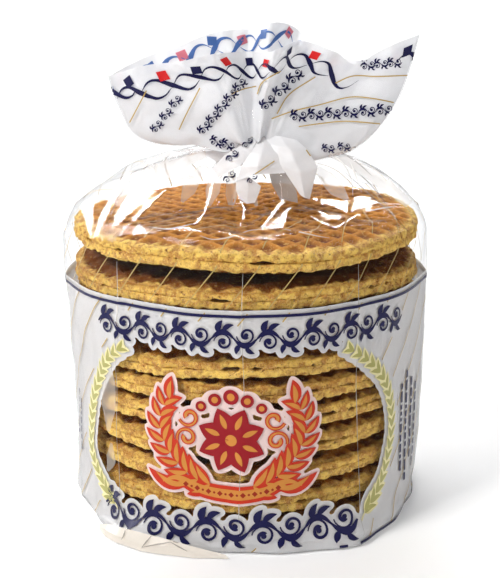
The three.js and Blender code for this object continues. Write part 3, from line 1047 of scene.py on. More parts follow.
class MouthMap:
    """Finds places on the fan from the way along its mouth and the depth under it."""

    SPAN = 9

    def __init__(self, film: FilmMap) -> None:
        """Measures the mouth, and how long the fan is under each part of it."""
        self.film = film
        mouth = film.grid[-1]
        steps = np.linalg.norm(np.roll(mouth, -1, axis=0) - mouth, axis=1)
        self.along = np.concatenate([[0], np.cumsum(steps)])
        self.length = float(self.along[-1])
        self.front = float(self.along[film.shape.columns // 2])
        first = int(np.searchsorted(film.ways, film.ways[-1] - 0.9 * film.shape.fan.length))
        tall = np.linalg.norm(np.diff(film.grid[first:], axis=0), axis=-1).sum(axis=0)
        stretch = (film.ways[-1] - film.ways[first]) / tall
        self.stretch = np.mean([np.roll(stretch, n) for n in range(-self.SPAN, self.SPAN + 1)], axis=0)

    def across(self, along: float) -> float:
        """Where a part of the mouth is, in X."""
        return float(np.interp(along % self.length, self.along[:-1], self.film.grid[-1, :, 0]))

    def at(self, along: Array, up: Array, depth: float) -> Array:
        """Places on the fan; up is under 0 below the mouth."""
        shape = self.film.shape
        column = np.interp(np.asarray(along, float) % self.length, self.along, np.arange(shape.columns + 1))
        stretch = self.stretch[np.round(column).astype(int) % shape.columns]
        u = (column / shape.columns - 0.25) * shape.around
        return self.film.at(u, np.minimum(self.film.ways[-1] + up * stretch, self.film.ways[-1]), depth)


class SightMap:
    """Finds places on the film along lines of sight from a point in front, through an upright plane."""

    EYE = (0.0, -337.9, 152.4)
    PLANE_Y = -8.0
    # How far in front of the film an ink of depth 0 lies.
    LIFT = 0.3

    def __init__(self, film: FilmMap, lowest: float, folds: tuple, behind: bool = False) -> None:
        """Takes what the lines of sight can meet.

        Args:
            film: The finished film.
            lowest: The v above which it counts.
            folds: The loose folds that count as well.
            behind: Whether the point is behind the bag instead.
        """
        self.facing = -1.0 if behind else 1.0
        first = int(np.searchsorted(film.ways, lowest))
        grid = film.grid[first:]
        rows, columns = grid.shape[:2]
        points, faces = [grid.reshape(-1, 3)], [ring_faces(rows, columns)]
        count = rows * columns
        for fold_points, fold_faces in (loose.mesh() for loose in folds):
            points.append(fold_points)
            faces.append(fold_faces + count)
            count += len(fold_points)
        corners = [tuple(place) for place in np.concatenate(points)]
        self.tree = BVHTree.FromPolygons(corners, np.concatenate(faces).tolist())

    def at(self, x: Array, z: Array, depth: float) -> Array:
        """Places on the first film that each line meets, or not-a-number where it meets none.

        Args:
            x: Where the lines pass through the plane, in X.
            z: The same in Z.
            depth: How far behind the film's face the places lie; inks at the front lie least deep.

        Returns:
            Points in millimetres.
        """
        eye = Vector((self.EYE[0], self.facing * self.EYE[1], self.EYE[2]))
        found = np.full((*np.shape(x), 3), np.nan)
        for index in np.ndindex(np.shape(x)):
            way = (Vector((float(x[index]), self.facing * self.PLANE_Y, float(z[index]))) - eye).normalized()
            place, _, _, _ = self.tree.ray_cast(eye, way)
            if place is not None:
                found[index] = place - way * (self.LIFT - depth)
        return found


# ---- The print ----


@dataclass(frozen=True)
class Stroke:
    """One stroke of print: a line on the flat film, with a width at each of its points."""

    ink: Ink
    line: Array
    widths: Array

    def moved(self, place: tuple[float, float] = (0.0, 0.0), scale: float = 1.0, turn: float = 0.0,
              mirror: bool = False) -> "Stroke":
        """The stroke scaled, mirrored, turned (in degrees) and moved."""
        line = self.line * scale * np.array([-1.0 if mirror else 1.0, 1.0])
        c, s = math.cos(math.radians(turn)), math.sin(math.radians(turn))
        return Stroke(self.ink, line @ np.array([[c, s], [-s, c]]) + np.array(place), self.widths * scale)


def brush(ink: Ink, points: Sequence, widths: Sequence, count: int) -> Stroke:
    """A stroke along a smooth line through points, with widths at even shares of its length."""
    shares = np.linspace(0, 1, count)
    width = np.interp(shares, np.linspace(0, 1, len(widths)), widths)
    return Stroke(ink, SmoothLine(points).at(shares), width)


def leaf(ink: Ink, base: Sequence, angle: float, length: float, width: float, bend: float = 0.0) -> Stroke:
    """A pointed leaf that runs off from its base at an angle in degrees, bowed to its left by a share."""
    share = np.linspace(0, 1, 11)
    turn = math.radians(angle)
    way, side = np.array([math.cos(turn), math.sin(turn)]), np.array([-math.sin(turn), math.cos(turn)])
    line = np.array(base) + length * (share[:, None] * way + bend * np.sin(math.pi * share)[:, None] * side)
    return Stroke(ink, line, np.maximum(width * np.sin(math.pi * share ** 0.8) ** 0.85, 0.05))


def dot(ink: Ink, middle: Sequence, radius: float) -> Stroke:
    """A round dot."""
    across = radius * np.cos(np.linspace(math.pi, 0, 11))
    line = np.stack([middle[0] + across, np.full_like(across, middle[1])], -1)
    return Stroke(ink, line, np.maximum(2 * np.sqrt(np.maximum(radius ** 2 - across ** 2, 0)), 0.04))


def curl(ink: Ink, middle: Sequence, radii: Sequence, first: float, turns: float, widths: Sequence) -> Stroke:
    """A spiral from a first direction in degrees, with its radii and widths at its start and end."""
    share = np.linspace(0, 1, 26)
    angle = math.radians(first) + TAU * turns * share
    radius = mix(radii[0], radii[1], share)
    line = np.stack([middle[0] + radius * np.cos(angle), middle[1] + radius * np.sin(angle)], -1)
    return Stroke(ink, line, mix(widths[0], widths[1], share))


def box(ink: Ink, middle: Sequence, size: Sequence, turn: float = 0.0) -> Stroke:
    """A rectangle, turned by an angle in degrees."""
    line = np.stack([np.linspace(-size[0] / 2, size[0] / 2, 4), np.zeros(4)], -1)
    return Stroke(ink, line, np.full(4, size[1])).moved(middle, turn=turn)


def vine() -> list[Stroke]:
    """One unit of a running vine, 12 long and 9 high, from 0, 0: a curl under its crest and one over."""
    ink = Ink.NAVY
    stem = ((0, 4.3), (1.5, 5.7), (3, 6.2), (4.5, 5.7), (6, 4.3), (7.5, 2.9), (9, 2.4), (10.5, 2.9),
            (12, 4.3))
    return [
        brush(ink, stem, (0.4, 1.0, 1.45, 0.9, 0.4, 1.0, 1.45, 0.9, 0.4), 34),
        curl(ink, (3.1, 3.3), (2.5, 0.5), 175, -1.35, (0.3, 0.95)),
        curl(ink, (9.1, 5.3), (2.5, 0.5), -175, 1.35, (0.3, 0.95)),
        dot(ink, (3.1, 3.3), 0.6),
        dot(ink, (9.1, 5.3), 0.6),
        leaf(ink, (1.6, 6.0), 68, 3.5, 1.7, 0.12),
        leaf(ink, (3.0, 6.4), 30, 3.4, 1.4, 0.14),
        leaf(ink, (7.5, 2.7), -112, 2.7, 1.4, -0.12),
        leaf(ink, (9.0, 2.2), -38, 3.0, 1.3, -0.14),
    ]


class Closeness:
    """How near each place of a grid on the film lies to strokes of print."""

    FAR = -9.0

    def __init__(self, us: Array, vs: Array, strokes: list[Stroke], reach: float = 3.5) -> None:
        """Measures the grid: over 0 lies inside a stroke, and under 0 is the distance from it."""
        self.us, self.vs = us, vs
        self.field = np.full((len(us), len(vs)), self.FAR)
        for stroke in strokes:
            for (u, v), width in zip(stroke.line, stroke.widths):
                far = width / 2 + reach
                i = slice(*np.searchsorted(us, (u - far, u + far)))
                j = slice(*np.searchsorted(vs, (v - far, v + far)))
                near = width / 2 - np.hypot(us[i, None] - u, vs[None, j] - v)
                self.field[i, j] = np.maximum(self.field[i, j], near)

    def at(self, u: Array, v: Array) -> Array:
        """The value at places, from the grid's nearest points."""
        i = np.clip(np.searchsorted(self.us, u), 0, len(self.us) - 1)
        j = np.clip(np.searchsorted(self.vs, v), 0, len(self.vs) - 1)
        return self.field[i, j]


def level_faces(us: Array, vs: Array, level: Array) -> tuple[Array, list[list[int]]]:
    """Covers the part of a grid where a level is over 0, cut cleanly along its edge.

    Args:
        us: The grid's places in u.
        vs: The grid's places in v.
        level: The level at each of its points, as len(us) by len(vs).

    Returns:
        Points in u and v, and faces as lists of their numbers.
    """
    points: list[tuple[float, float]] = []
    known: dict[tuple, int] = {}

    def point(key: tuple, u: float, v: float) -> int:
        """The number of a point, made when it is first asked for."""
        if key not in known:
            known[key] = len(points)
            points.append((u, v))
        return known[key]

    inside = level > 0
    some = inside[:-1, :-1] | inside[1:, :-1] | inside[1:, 1:] | inside[:-1, 1:]
    faces = []
    for i, j in np.argwhere(some).tolist():
        corners = [(i, j), (i + 1, j), (i + 1, j + 1), (i, j + 1)]
        face = []
        for n, (a, b) in enumerate(corners):
            c, d = corners[(n + 1) % 4]
            if inside[a, b]:
                face.append(point((a, b), us[a], vs[b]))
            if inside[a, b] != inside[c, d]:
                share = level[a, b] / (level[a, b] - level[c, d])
                key = (min((a, b), (c, d)), max((a, b), (c, d)))
                face.append(point(key, mix(us[a], us[c], share), mix(vs[b], vs[d], share)))
        if len(face) > 2:
            faces.append(face)
    return np.array(points), faces


class Sheet:
    """Strokes of print that are laid on the film together, one piece for each ink."""

    ACROSS = 0.7
    STRETCH = 2.2
    SLACK = 0.5

    def __init__(self, name: str, lay: Callable[[Array, Array, float], Array], strokes: list[Stroke]) -> None:
        """Takes the sheet's name, the way its places are found on the film, and its strokes."""
        self.name = name
        self.lay = lay
        self.strokes = strokes

    def _cover(self, stroke: Stroke) -> tuple[Array, Array]:
        """The points and faces of one stroke, without those that are torn apart where the film turns away."""
        tangent = np.gradient(stroke.line, axis=0)
        tangent /= np.maximum(np.linalg.norm(tangent, axis=1, keepdims=True), 1e-9)
        normal = np.stack([-tangent[:, 1], tangent[:, 0]], -1)
        columns = max(2, math.ceil(stroke.widths.max() / self.ACROSS) + 1)
        across = np.linspace(-0.5, 0.5, columns)
        flat = stroke.line[:, None] + (normal * stroke.widths[:, None])[:, None] * across[None, :, None]
        laid = self.lay(flat[..., 0], flat[..., 1], stroke.ink.depth)
        faces = grid_faces(len(stroke.line), columns)
        flat, laid = flat.reshape(-1, 2), laid.reshape(-1, 3)
        true = np.linalg.norm(flat[faces] - flat[np.roll(faces, 1, axis=1)], axis=-1)
        now = np.linalg.norm(laid[faces] - laid[np.roll(faces, 1, axis=1)], axis=-1)
        whole = np.isfinite(now).all(axis=1) & (now < self.STRETCH * true + self.SLACK).all(axis=1)
        return laid, faces[whole]

    def build(self) -> list[Piece]:
        """Makes the pieces."""
        pieces = []
        for ink in Ink:
            points, faces, count = [], [], 0
            for laid, sides in (self._cover(stroke) for stroke in self.strokes if stroke.ink is ink):
                used = np.unique(sides)
                renumber = np.zeros(len(laid), int)
                renumber[used] = np.arange(len(used)) + count
                points.append(laid[used])
                faces.append(renumber[sides])
                count += len(used)
            if count:
                pieces.append(make_film_piece(f"{self.name}_{ink.finish.name}", np.concatenate(points),
                                              np.concatenate(faces), ink.finish.material()))
        return pieces


@dataclass
class SideDesign:
    """The print of one half of the side: a window between two wheat ears, vines and a garland of flowers."""

    half_width: float = 83.25
    line_v: float = 67.9
    foot_line_v: float = 1.1
    foot_line_start: float = 24.0
    top_v: float = 69.4
    foot_v: float = -14.0
    step: float = 0.62
    window_foot: float = 7.0
    window_top: float = 59.0
    # Runs of vines: where each starts in u and v, its size, and how many units it has.
    runs: tuple = ((-45.0, 57.6, 1.0, 8), (-46.0, 1.9, 1.3, 5))
    vine_length: float = 12.0
    left_ear: tuple = (
        (-35.5, 56.5), (-41, 52.6), (-45.8, 47.2), (-49.6, 40.5), (-51.6, 33.5), (-52.2, 27), (-51.6, 21),
        (-49.2, 15.6), (-45, 10.6), (-40, 7.2))
    right_ear: tuple = (
        (28.5, 57.3), (35.2, 53), (42.3, 46.3), (46.5, 38.7), (48.1, 30.6), (46.9, 23.4), (44.3, 16.7),
        (39.8, 11.6), (33.4, 6.6))
    # The grains of an ear: spacing, length and width, the angle at which they stand off, and their bend.
    grain_pitch: float = 3.3
    grain: tuple = (4.8, 2.5)
    grain_angle: float = 31.0
    grain_bend: float = -0.1
    ear_edge: float = 0.6
    garland_middle: tuple = (-4.0, 32.6)
    # The columns of small bars: u, and the v between which they run.
    columns: tuple = (
        (54.2, 14, 41), (57.4, 10, 42.5), (60.8, 16, 40.5), (64.0, 12, 38), (-62.0, 18, 31), (-65.4, 22, 34))
    bar_width: float = 1.15
    bar_gap: float = 0.7
    # The leaning gold lines: how many there are on one half, how steeply they rise, and their width.
    gold_count: int = 15
    gold_slope: float = 1.25
    gold_width: float = 0.34

    def vines(self) -> list[Stroke]:
        """The running vines over and under the window."""
        return [part.moved((u + self.vine_length * size * n, v), size)
                for u, v, size, count in self.runs for n in range(count) for part in vine()]

    def ears(self) -> list[Stroke]:
        """The two ears of wheat at the sides of the window."""
        strokes = []
        for points in (self.left_ear, self.right_ear):
            line = SmoothLine(points)
            length = float(np.linalg.norm(np.diff(line.points, axis=0), axis=1).sum())
            count = round(length / self.grain_pitch)
            for n in range(count):
                place = line.at((n + 0.9) / (count + 0.6))
                ahead = line.at(max(0.0, n / (count + 0.6))) - place
                angle = math.degrees(math.atan2(ahead[1], ahead[0]))
                size = mix(0.8, 1.0, min(1.0, n / 4)) * mix(1.0, 1.4, float(smooth(4.0 * n / count - 3.0)))
                long, wide = self.grain[0] * size, self.grain[1] * size
                for side in (-1, 1):
                    turn, bend = angle + self.grain_angle * side, self.grain_bend * side
                    strokes += [leaf(Ink.STRAW, place, turn, long, wide, bend),
                                leaf(Ink.WHEAT, place, turn, long * 0.84, wide * 0.52, bend)]
            strokes.append(brush(Ink.STRAW, points, (0.3, 0.4, 0.5, 0.5), 60))
        return strokes

    def garland(self) -> list[Stroke]:
        """The garland in the middle of the window."""
        strokes = self.sprays() + self.flower() + self.swag()
        return [stroke.moved(self.garland_middle) for stroke in strokes]

    def sprays(self) -> list[Stroke]:
        """The garland's sprays of leaves with tan hearts, and the curls at its sides."""
        strokes = []

        def add(part: Stroke) -> None:
            """Adds a stroke and its mirror image."""
            strokes.extend((part, part.moved(mirror=True)))

        def gilded(place: Sequence, angle: float, length: float, width: float, bend: float = 0.08) -> None:
            """Adds a scarlet leaf with a tan heart, at both sides."""
            add(leaf(Ink.SCARLET, place, angle, length, width, bend))
            add(leaf(Ink.TAN, place, angle, length * 0.8, width * 0.42, bend))

        spine = SmoothLine([(-2.5, -12.5), (-9.5, -11), (-17.5, -3.5), (-20.2, 4.5), (-17.2, 12.6)])
        for n in range(9):
            place = spine.at(0.1 + 0.1 * n)
            ahead = spine.at(min(1.0, 0.2 + 0.1 * n)) - place
            angle = math.degrees(math.atan2(ahead[1], ahead[0]))
            size = mix(1.0, 0.76, n / 8)
            gilded(place, angle + 44, 7.4 * size, 3.3 * size)
            gilded(place, angle - 38, 8.0 * size, 3.5 * size)
        gilded((-17.0, 11.4), 84, 6.6, 3.2)
        gilded((-12.5, -12.6), 164, 12.0, 3.8, 0.14)
        for turn, middle in ((-1.15, (-12.3, 1.0)), (1.0, (-11.6, 7.0))):
            add(curl(Ink.SCARLET, middle, (2.9, 0.7), 200, turn, (0.9, 1.7)))
            add(curl(Ink.TAN, middle, (2.9, 0.7), 200, turn, (0.3, 0.9)))
        return strokes

    def flower(self) -> list[Stroke]:
        """The garland's flower, with an arch of dots over it."""
        petals = [45 * n + 22.5 for n in range(8)]
        strokes = [leaf(Ink.CRIMSON, (0, 1.0), turn, 9.6, 6.6) for turn in petals]
        for turn in petals:
            base = (3.4 * math.cos(math.radians(turn)), 1.0 + 3.4 * math.sin(math.radians(turn)))
            strokes.append(leaf(Ink.TAN, base, turn, 4.4, 1.5))
        strokes += [dot(Ink.SCARLET, (0, 1.0), 2.9), dot(Ink.TAN, (0, 1.0), 1.6)]
        arch = ((-8.2, 10.2, 1.5), (-4.4, 12.2, 1.8), (0, 13.2, 2.1), (4.4, 12.2, 1.8), (8.2, 10.2, 1.5))
        for across, up, radius in arch:
            strokes += [dot(Ink.CRIMSON, (across, up), radius), dot(Ink.TAN, (across, up), radius * 0.5)]
        return strokes

    def swag(self) -> list[Stroke]:
        """The garland's swag, with maroon diamonds and dots along its middle."""
        line = ((-19.5, -12.6), (-15.5, -10.9), (-8.5, -13.6), (0, -14.6), (8.5, -13.6), (15.5, -10.9),
                (19.5, -12.6))
        strokes = [brush(Ink.SCARLET, line, (1.4, 4.0, 4.8, 5.0, 4.8, 4.0, 1.4), 48),
                   brush(Ink.TAN, line, (0.3, 2.0, 2.7, 2.9, 2.7, 2.0, 0.3), 48)]
        for n in range(-8, 9):
            place = (1.6 * n, -14.6 + (1.6 * n) ** 2 / 78)
            diamond = box(Ink.MAROON, place, (1.15, 1.15), 45)
            strokes.append(dot(Ink.MAROON, place, 0.34) if n % 2 else diamond)
        return strokes

    def bars(self) -> list[Stroke]:
        """Small bars in upright columns at the side of the window."""
        draw = np.random.default_rng(31)
        strokes = []
        for u, low, high in self.columns:
            v = low
            while v < high:
                length = float(draw.uniform(1.0, 3.4))
                strokes.append(box(Ink.NAVY, (u, v + length / 2), (length, self.bar_width), 90))
                v += length + self.bar_gap
        return strokes

    def window(self, us: Array, vs: Array) -> Array:
        """How deep each place of a grid lies in the clear window."""
        left, right = np.array(self.left_ear)[::-1], np.array(self.right_ear)[::-1]
        from_left = us[:, None] - (np.interp(vs, left[:, 1], left[:, 0]) + self.ear_edge)[None]
        from_right = (np.interp(vs, right[:, 1], right[:, 0]) - self.ear_edge)[None] - us[:, None]
        upright = np.minimum(vs - self.window_foot, self.window_top - vs)[None]
        return np.minimum(np.minimum(from_left, from_right), upright)

    def lines(self, near: Closeness) -> list[Stroke]:
        """The blue lines at the top and foot, and the thin gold lines over the white and the clear film."""
        strokes = []
        for v, first in ((self.line_v, -self.half_width), (self.foot_line_v, self.foot_line_start)):
            u = np.arange(first, self.half_width + 0.1, 0.75)
            strokes += self.broken(Ink.NAVY, np.stack([u, np.full_like(u, v)], -1), 0.8, near, 0.9)
        for start in np.arange(-self.half_width - 60, self.half_width, 2 * self.half_width / self.gold_count):
            v = np.arange(0.6, self.top_v, 0.8)
            line = np.stack([start + v / self.gold_slope, v], -1)
            line = line[np.abs(line[:, 0]) < self.half_width]
            if len(line) > 2:
                strokes += self.broken(Ink.GOLD, line, self.gold_width, near, 1.2)
        return strokes

    def broken(self, ink: Ink, line: Array, width: float, near: Closeness, gap: float) -> list[Stroke]:
        """A line with gaps where other print is near or the film is clear."""
        free = near.at(line[:, 0], line[:, 1]) < -gap
        strokes, start = [], None
        for n, ok in enumerate([*free, False]):
            if ok and start is None:
                start = n
            elif not ok and start is not None:
                if n - start > 2:
                    strokes.append(Stroke(ink, line[start:n], np.full(n - start, width)))
                start = None
        return strokes


@dataclass
class FanDesign:
    """The print round the mouth of the bag and on its fan."""

    # Where the mouth is turned in at the front, in X, so that its print can't be seen.
    turned_in: tuple = (30.0, 41.5)
    square: float = 2.8
    square_pitch: float = 10.4
    square_start: float = 0.62
    wave_pitch: float = 8.6
    wave_start: float = 0.1
    wave: tuple = ((0, -6.6), (2.4, -4.6), (4.8, -4.5), (8, -6.8), (11.2, -9.3), (13.4, -9.2), (15.8, -7.6))
    wave_widths: tuple = (0.1, 0.5, 1.0, 1.6, 1.0, 0.5, 0.1)
    back_rise: float = 2.2
    vine_length: float = 12.0
    mark_turn: float = 35.0
    # Rows of small vines on the spread film: start and end in X and Z of the sights' plane, and their size.
    rows: tuple = (
        ((32.0, 126.2), (43.0, 127.2), 0.36), ((12.4, 111.9), (41.5, 113.9), 0.42),
        ((21.5, 103.0), (30.5, 103.9), 0.33), ((5.6, 114.6), (16.9, 125.4), 0.42),
        ((-12.0, 107.9), (0.6, 122.8), 0.36), ((-25.4, 108.4), (-17.2, 118.8), 0.34),
        ((-10.9, 105.6), (-4.6, 103.9), 0.36))
    # Which of the rows are at the back as well.
    rows_behind: tuple = (1, 3, 4, 5)
    gold: tuple = (
        ((45.1, 125.2), (36.5, 124.9), (29.7, 125.0), (25.1, 123.1)),
        ((42.8, 117.4), (35.6, 118.8), (29.5, 119.2), (20.6, 117.0), (12.7, 115.1), (7.2, 113.1)),
        ((38.7, 111.6), (27.9, 112.4), (20.7, 111.7), (14.9, 110.9)),
        ((3.1, 120.0), (4.4, 123.1), (9.7, 126.4)), ((8.7, 114.5), (11.9, 119.7), (19.4, 124.8)),
        ((-4.1, 120.0), (-1.1, 121.3), (2.8, 122.2)), ((-19.0, 110.0), (-17.3, 113.6), (-13.0, 121.7)),
        ((17.1, 104.3), (20.4, 99.6)), ((0.8, 96.1), (8.1, 101.1)), ((-33, 112), (-28, 121)))
    # Shaded creases of the fold at the foot, in X and Z of the same plane.
    foot: tuple = (
        ((-29.4, -16.3), (-31.2, -18.6), (-32.6, -20.4)), ((-32.6, -20.4), (-28.0, -19.4), (-23.5, -18.6)),
        ((-23.5, -18.6), (-21.0, -20.2), (-18.4, -21.7)), ((-37.6, -14.4), (-38.2, -16.4), (-38.9, -17.7)),
        ((-46.4, -11.6), (-42.0, -12.2), (-38.0, -13.0), (-34.0, -14.0), (-29.4, -15.9), (-23.5, -18.1),
         (-14.5, -20.5)))
    # Single curls on the loose folds: X, Z and size.
    marks: tuple = ((-4.9, 100.0, 0.36), (-0.4, 104.2, 0.3), (-5.7, 94.0, 0.36), (1.0, 93.9, 0.3))

    def mouth(self, around: MouthMap) -> list[Stroke]:
        """The squares and waves round the mouth, with paler ones where they show through the back ply."""
        strokes = []

        def lay(place: float, inks: tuple[Ink, Ink], make: Callable[[Ink, float], Stroke]) -> None:
            """Adds one part of the print, twice and higher on the back ply, unless it is turned in."""
            if place >= around.front:
                strokes.extend(make(ink, self.back_rise) for ink in inks)
            elif not self.turned_in[0] < around.across(place + 4) < self.turned_in[1]:
                strokes.append(make(inks[0], 0.0))

        count = 2 * round(around.length / self.square_pitch / 2)
        for n in range(count):
            place = around.length * (n + self.square_start) / count
            turn, drop = 20 - 17 * (n % 3), 3.1 + 0.5 * (n % 3)
            lay(place, (Ink.RED, Ink.SHOW_RED) if n % 2 else (Ink.NAVY, Ink.SHOW_BLUE),
                lambda ink, rise: box(ink, (place, rise * 0.4 - drop), (self.square, self.square), turn))
        count = round(around.length / self.wave_pitch)
        for n in range(count):
            place = around.length * (n + self.wave_start) / count
            lay(place, (Ink.NAVY, Ink.SHOW_BLUE), lambda ink, rise: brush(
                ink, [(place + a, b + rise) for a, b in self.wave], self.wave_widths, 30))
        return strokes

    def vine_rows(self, rows: Sequence) -> list[Stroke]:
        """Rows of small vines, each from its start and end in X and Z and its size."""
        strokes = []
        for (x0, z0), (x1, z1), size in rows:
            count = max(1, round(math.hypot(x1 - x0, z1 - z0) / (self.vine_length * size)))
            turn = math.degrees(math.atan2(z1 - z0, x1 - x0))
            for n in range(count):
                place = (mix(x0, x1, n / count), mix(z0, z1, n / count))
                strokes += [part.moved(place, size, turn) for part in vine()]
        return strokes

    def spread_behind(self) -> list[Stroke]:
        """The rows of vines at the back of the spread film."""
        return self.vine_rows([self.rows[n] for n in self.rows_behind])

    def spread(self) -> list[Stroke]:
        """The rows of vines, the gold lines and the creases on the spread film and its folds."""
        strokes = self.vine_rows(self.rows)
        strokes += [brush(Ink.GOLD, line, (0.34, 0.34), 30) for line in self.gold]
        strokes += [brush(Ink.CREASE_SHADE, line, (0.16, 0.5, 0.16), 40) for line in self.foot]
        for x, z, size in self.marks:
            strokes += [part.moved((x, z), size, self.mark_turn) for part in vine()[:3]]
        return strokes


@dataclass(frozen=True)
class CreaseLightAndShade:
    """Painted light and shade at creases of the clear film: fine lines of painted highlight and painted
    shade, and a whitish veil along pleats and by the left ear.
    """

    # Painted highlights along creases over the shoulder, in X and Z of the plane that sights pass.
    pale: tuple = (
        ((-31.3, 101.7), (-38.4, 96.5), (-44.4, 92.1), (-48.5, 87.8)),
        ((-31.3, 101.3), (-27.0, 99.1), (-24.5, 96.9)), ((-25.1, 102.4), (-26.3, 97.3)),
        ((-33.7, 92.1), (-28.8, 93.3), (-23.4, 94.3), (-19.0, 95.6)),
        ((-20.5, 95.4), (-17.8, 96.2), (-14.6, 96.4)), ((-13.5, 99.9), (-11.2, 99.4), (-9.5, 97.6)),
        ((-31.2, 102.0), (-35.0, 96.2), (-39.3, 88.0), (-42.8, 79.2)),
        ((-28.5, 82.0), (-22.6, 81.3), (-15.5, 82.8), (-13.7, 83.1)),
        ((-13.3, 79.3), (-9.7, 78.2), (-4.1, 79.0), (1.4, 80.9), (4.8, 81.1)),
        ((10.6, 81.3), (15.6, 80.4), (20.8, 79.2), (24.3, 78.6)),
        ((29.8, 100.6), (31.4, 96.8), (33.2, 92.1)),
        ((23.0, 104.2), (28.2, 99.7), (30.3, 95.0), (30.7, 91.0)),
        ((34.6, 86.3), (38.6, 87.3), (43.2, 88.0)), ((41.7, 95.6), (44.4, 93.6), (47.1, 90.9)))
    shaded: tuple = (
        ((28.2, 97.9), (31.5, 95.0), (37.0, 90.1), (42.3, 85.5), (47.5, 80.1)),
        ((31.1, 98.5), (35.0, 95.0), (39.6, 89.7), (42.9, 85.2)),
        ((-22.5, 92.9), (-27.8, 87.8), (-33.4, 82.8), (-40.2, 77.0)),
        ((-34.5, 93.9), (-37.8, 88.3), (-40.9, 81.6), (-42.9, 78.6)),
        ((20.1, 84.4), (22.1, 86.0), (23.6, 84.0), (27.7, 84.1), (30.5, 85.8)),
        ((10.6, 89.2), (8.6, 86.3), (5.7, 81.9)), ((27.0, 103.7), (31.9, 100.5), (36.0, 96.8)))
    # Painted highlights along upright creases round the side: u at the foot and at the top.
    upright: tuple = (
        (-39.3, -38.2), (-1.6, -0.4), (33.0, 31.5), (74.0, 75.0), (128.0, 126.0), (166.0, 167.0),
        (205.0, 204.0))
    # Pleats that run out from the neck, painted as a whitish veil that is partly the haze of their layered
    # film and partly painted shading: lines in the same plane, with their widths.
    pleats: tuple = (
        (((-7.2, 101.4), (-9.0, 95.0), (-10.8, 88.0)), (0.8, 3.4, 4.2, 1.0)),
        (((-4.4, 100.2), (-4.1, 93.9), (-4.4, 86.9)), (0.8, 3.0, 3.6, 0.8)),
        (((-0.1, 95.6), (1.6, 91.8), (3.1, 88.0)), (0.6, 2.6, 0.8)),
        (((19.9, 99.7), (24.6, 94.5), (29.3, 89.8)), (1.0, 4.2, 4.6, 1.0)),
        (((23.6, 103.4), (33.0, 101.4), (41.2, 96.2), (47.2, 88.6)), (2.0, 8.0, 9.0, 3.0)),
        (((-11.5, 103.1), (-21.2, 101.1), (-31.0, 95.3), (-38.1, 88.9)), (2.0, 8.0, 9.0, 3.0)),
        (((-12.9, 99.7), (-15.6, 94.5), (-18.5, 89.2)), (0.8, 3.8, 4.0, 0.8)))
    # Painted reflection by the left ear, where the film's sheen is painted on as a whitish veil: lines up the
    # film with their widths.
    painted_sheen: tuple = (
        (((-42.8, 30.0), (-43.0, 40.0), (-42.2, 51.0)), (1.0, 6.6, 6.0, 2.0)),
        (((-44.5, 17.5), (-42.2, 22.0), (-41.4, 27.0)), (1.0, 4.0, 1.0)))
    top_v: float = 80.0
    line_widths: tuple = (0.08, 0.34, 0.4, 0.26, 0.08)
    upright_widths: tuple = (0.06, 0.3, 0.12, 0.3, 0.1, 0.34, 0.1)

    def on_shoulder(self) -> list[Stroke]:
        """The painted highlight and shade lines and the veiled pleats over the shoulder."""
        strokes = [brush(Ink.CREASE, line, self.line_widths, 24) for line in self.pale]
        strokes += [brush(Ink.HAZE_AND_SHEEN, line, widths, 30) for line, widths in self.pleats]
        return strokes + [brush(Ink.CREASE_SHADE, line, self.line_widths, 24) for line in self.shaded]

    def on_side(self) -> list[Stroke]:
        """The upright lines of painted highlight, which waver, and the painted sheen by the left ear."""
        strokes = []
        for n, (foot, top) in enumerate(self.upright):
            bend = 0.5 * (-1) ** n
            line = [(mix(foot, top, share) + bend * math.sin(9 * share), share * self.top_v + 1.0)
                    for share in np.linspace(0, 0.98, 8)]
            strokes.append(brush(Ink.CREASE, line, self.upright_widths, 60))
        return strokes + [brush(Ink.HAZE_AND_SHEEN, line, widths, 30) for line, widths in self.painted_sheen]


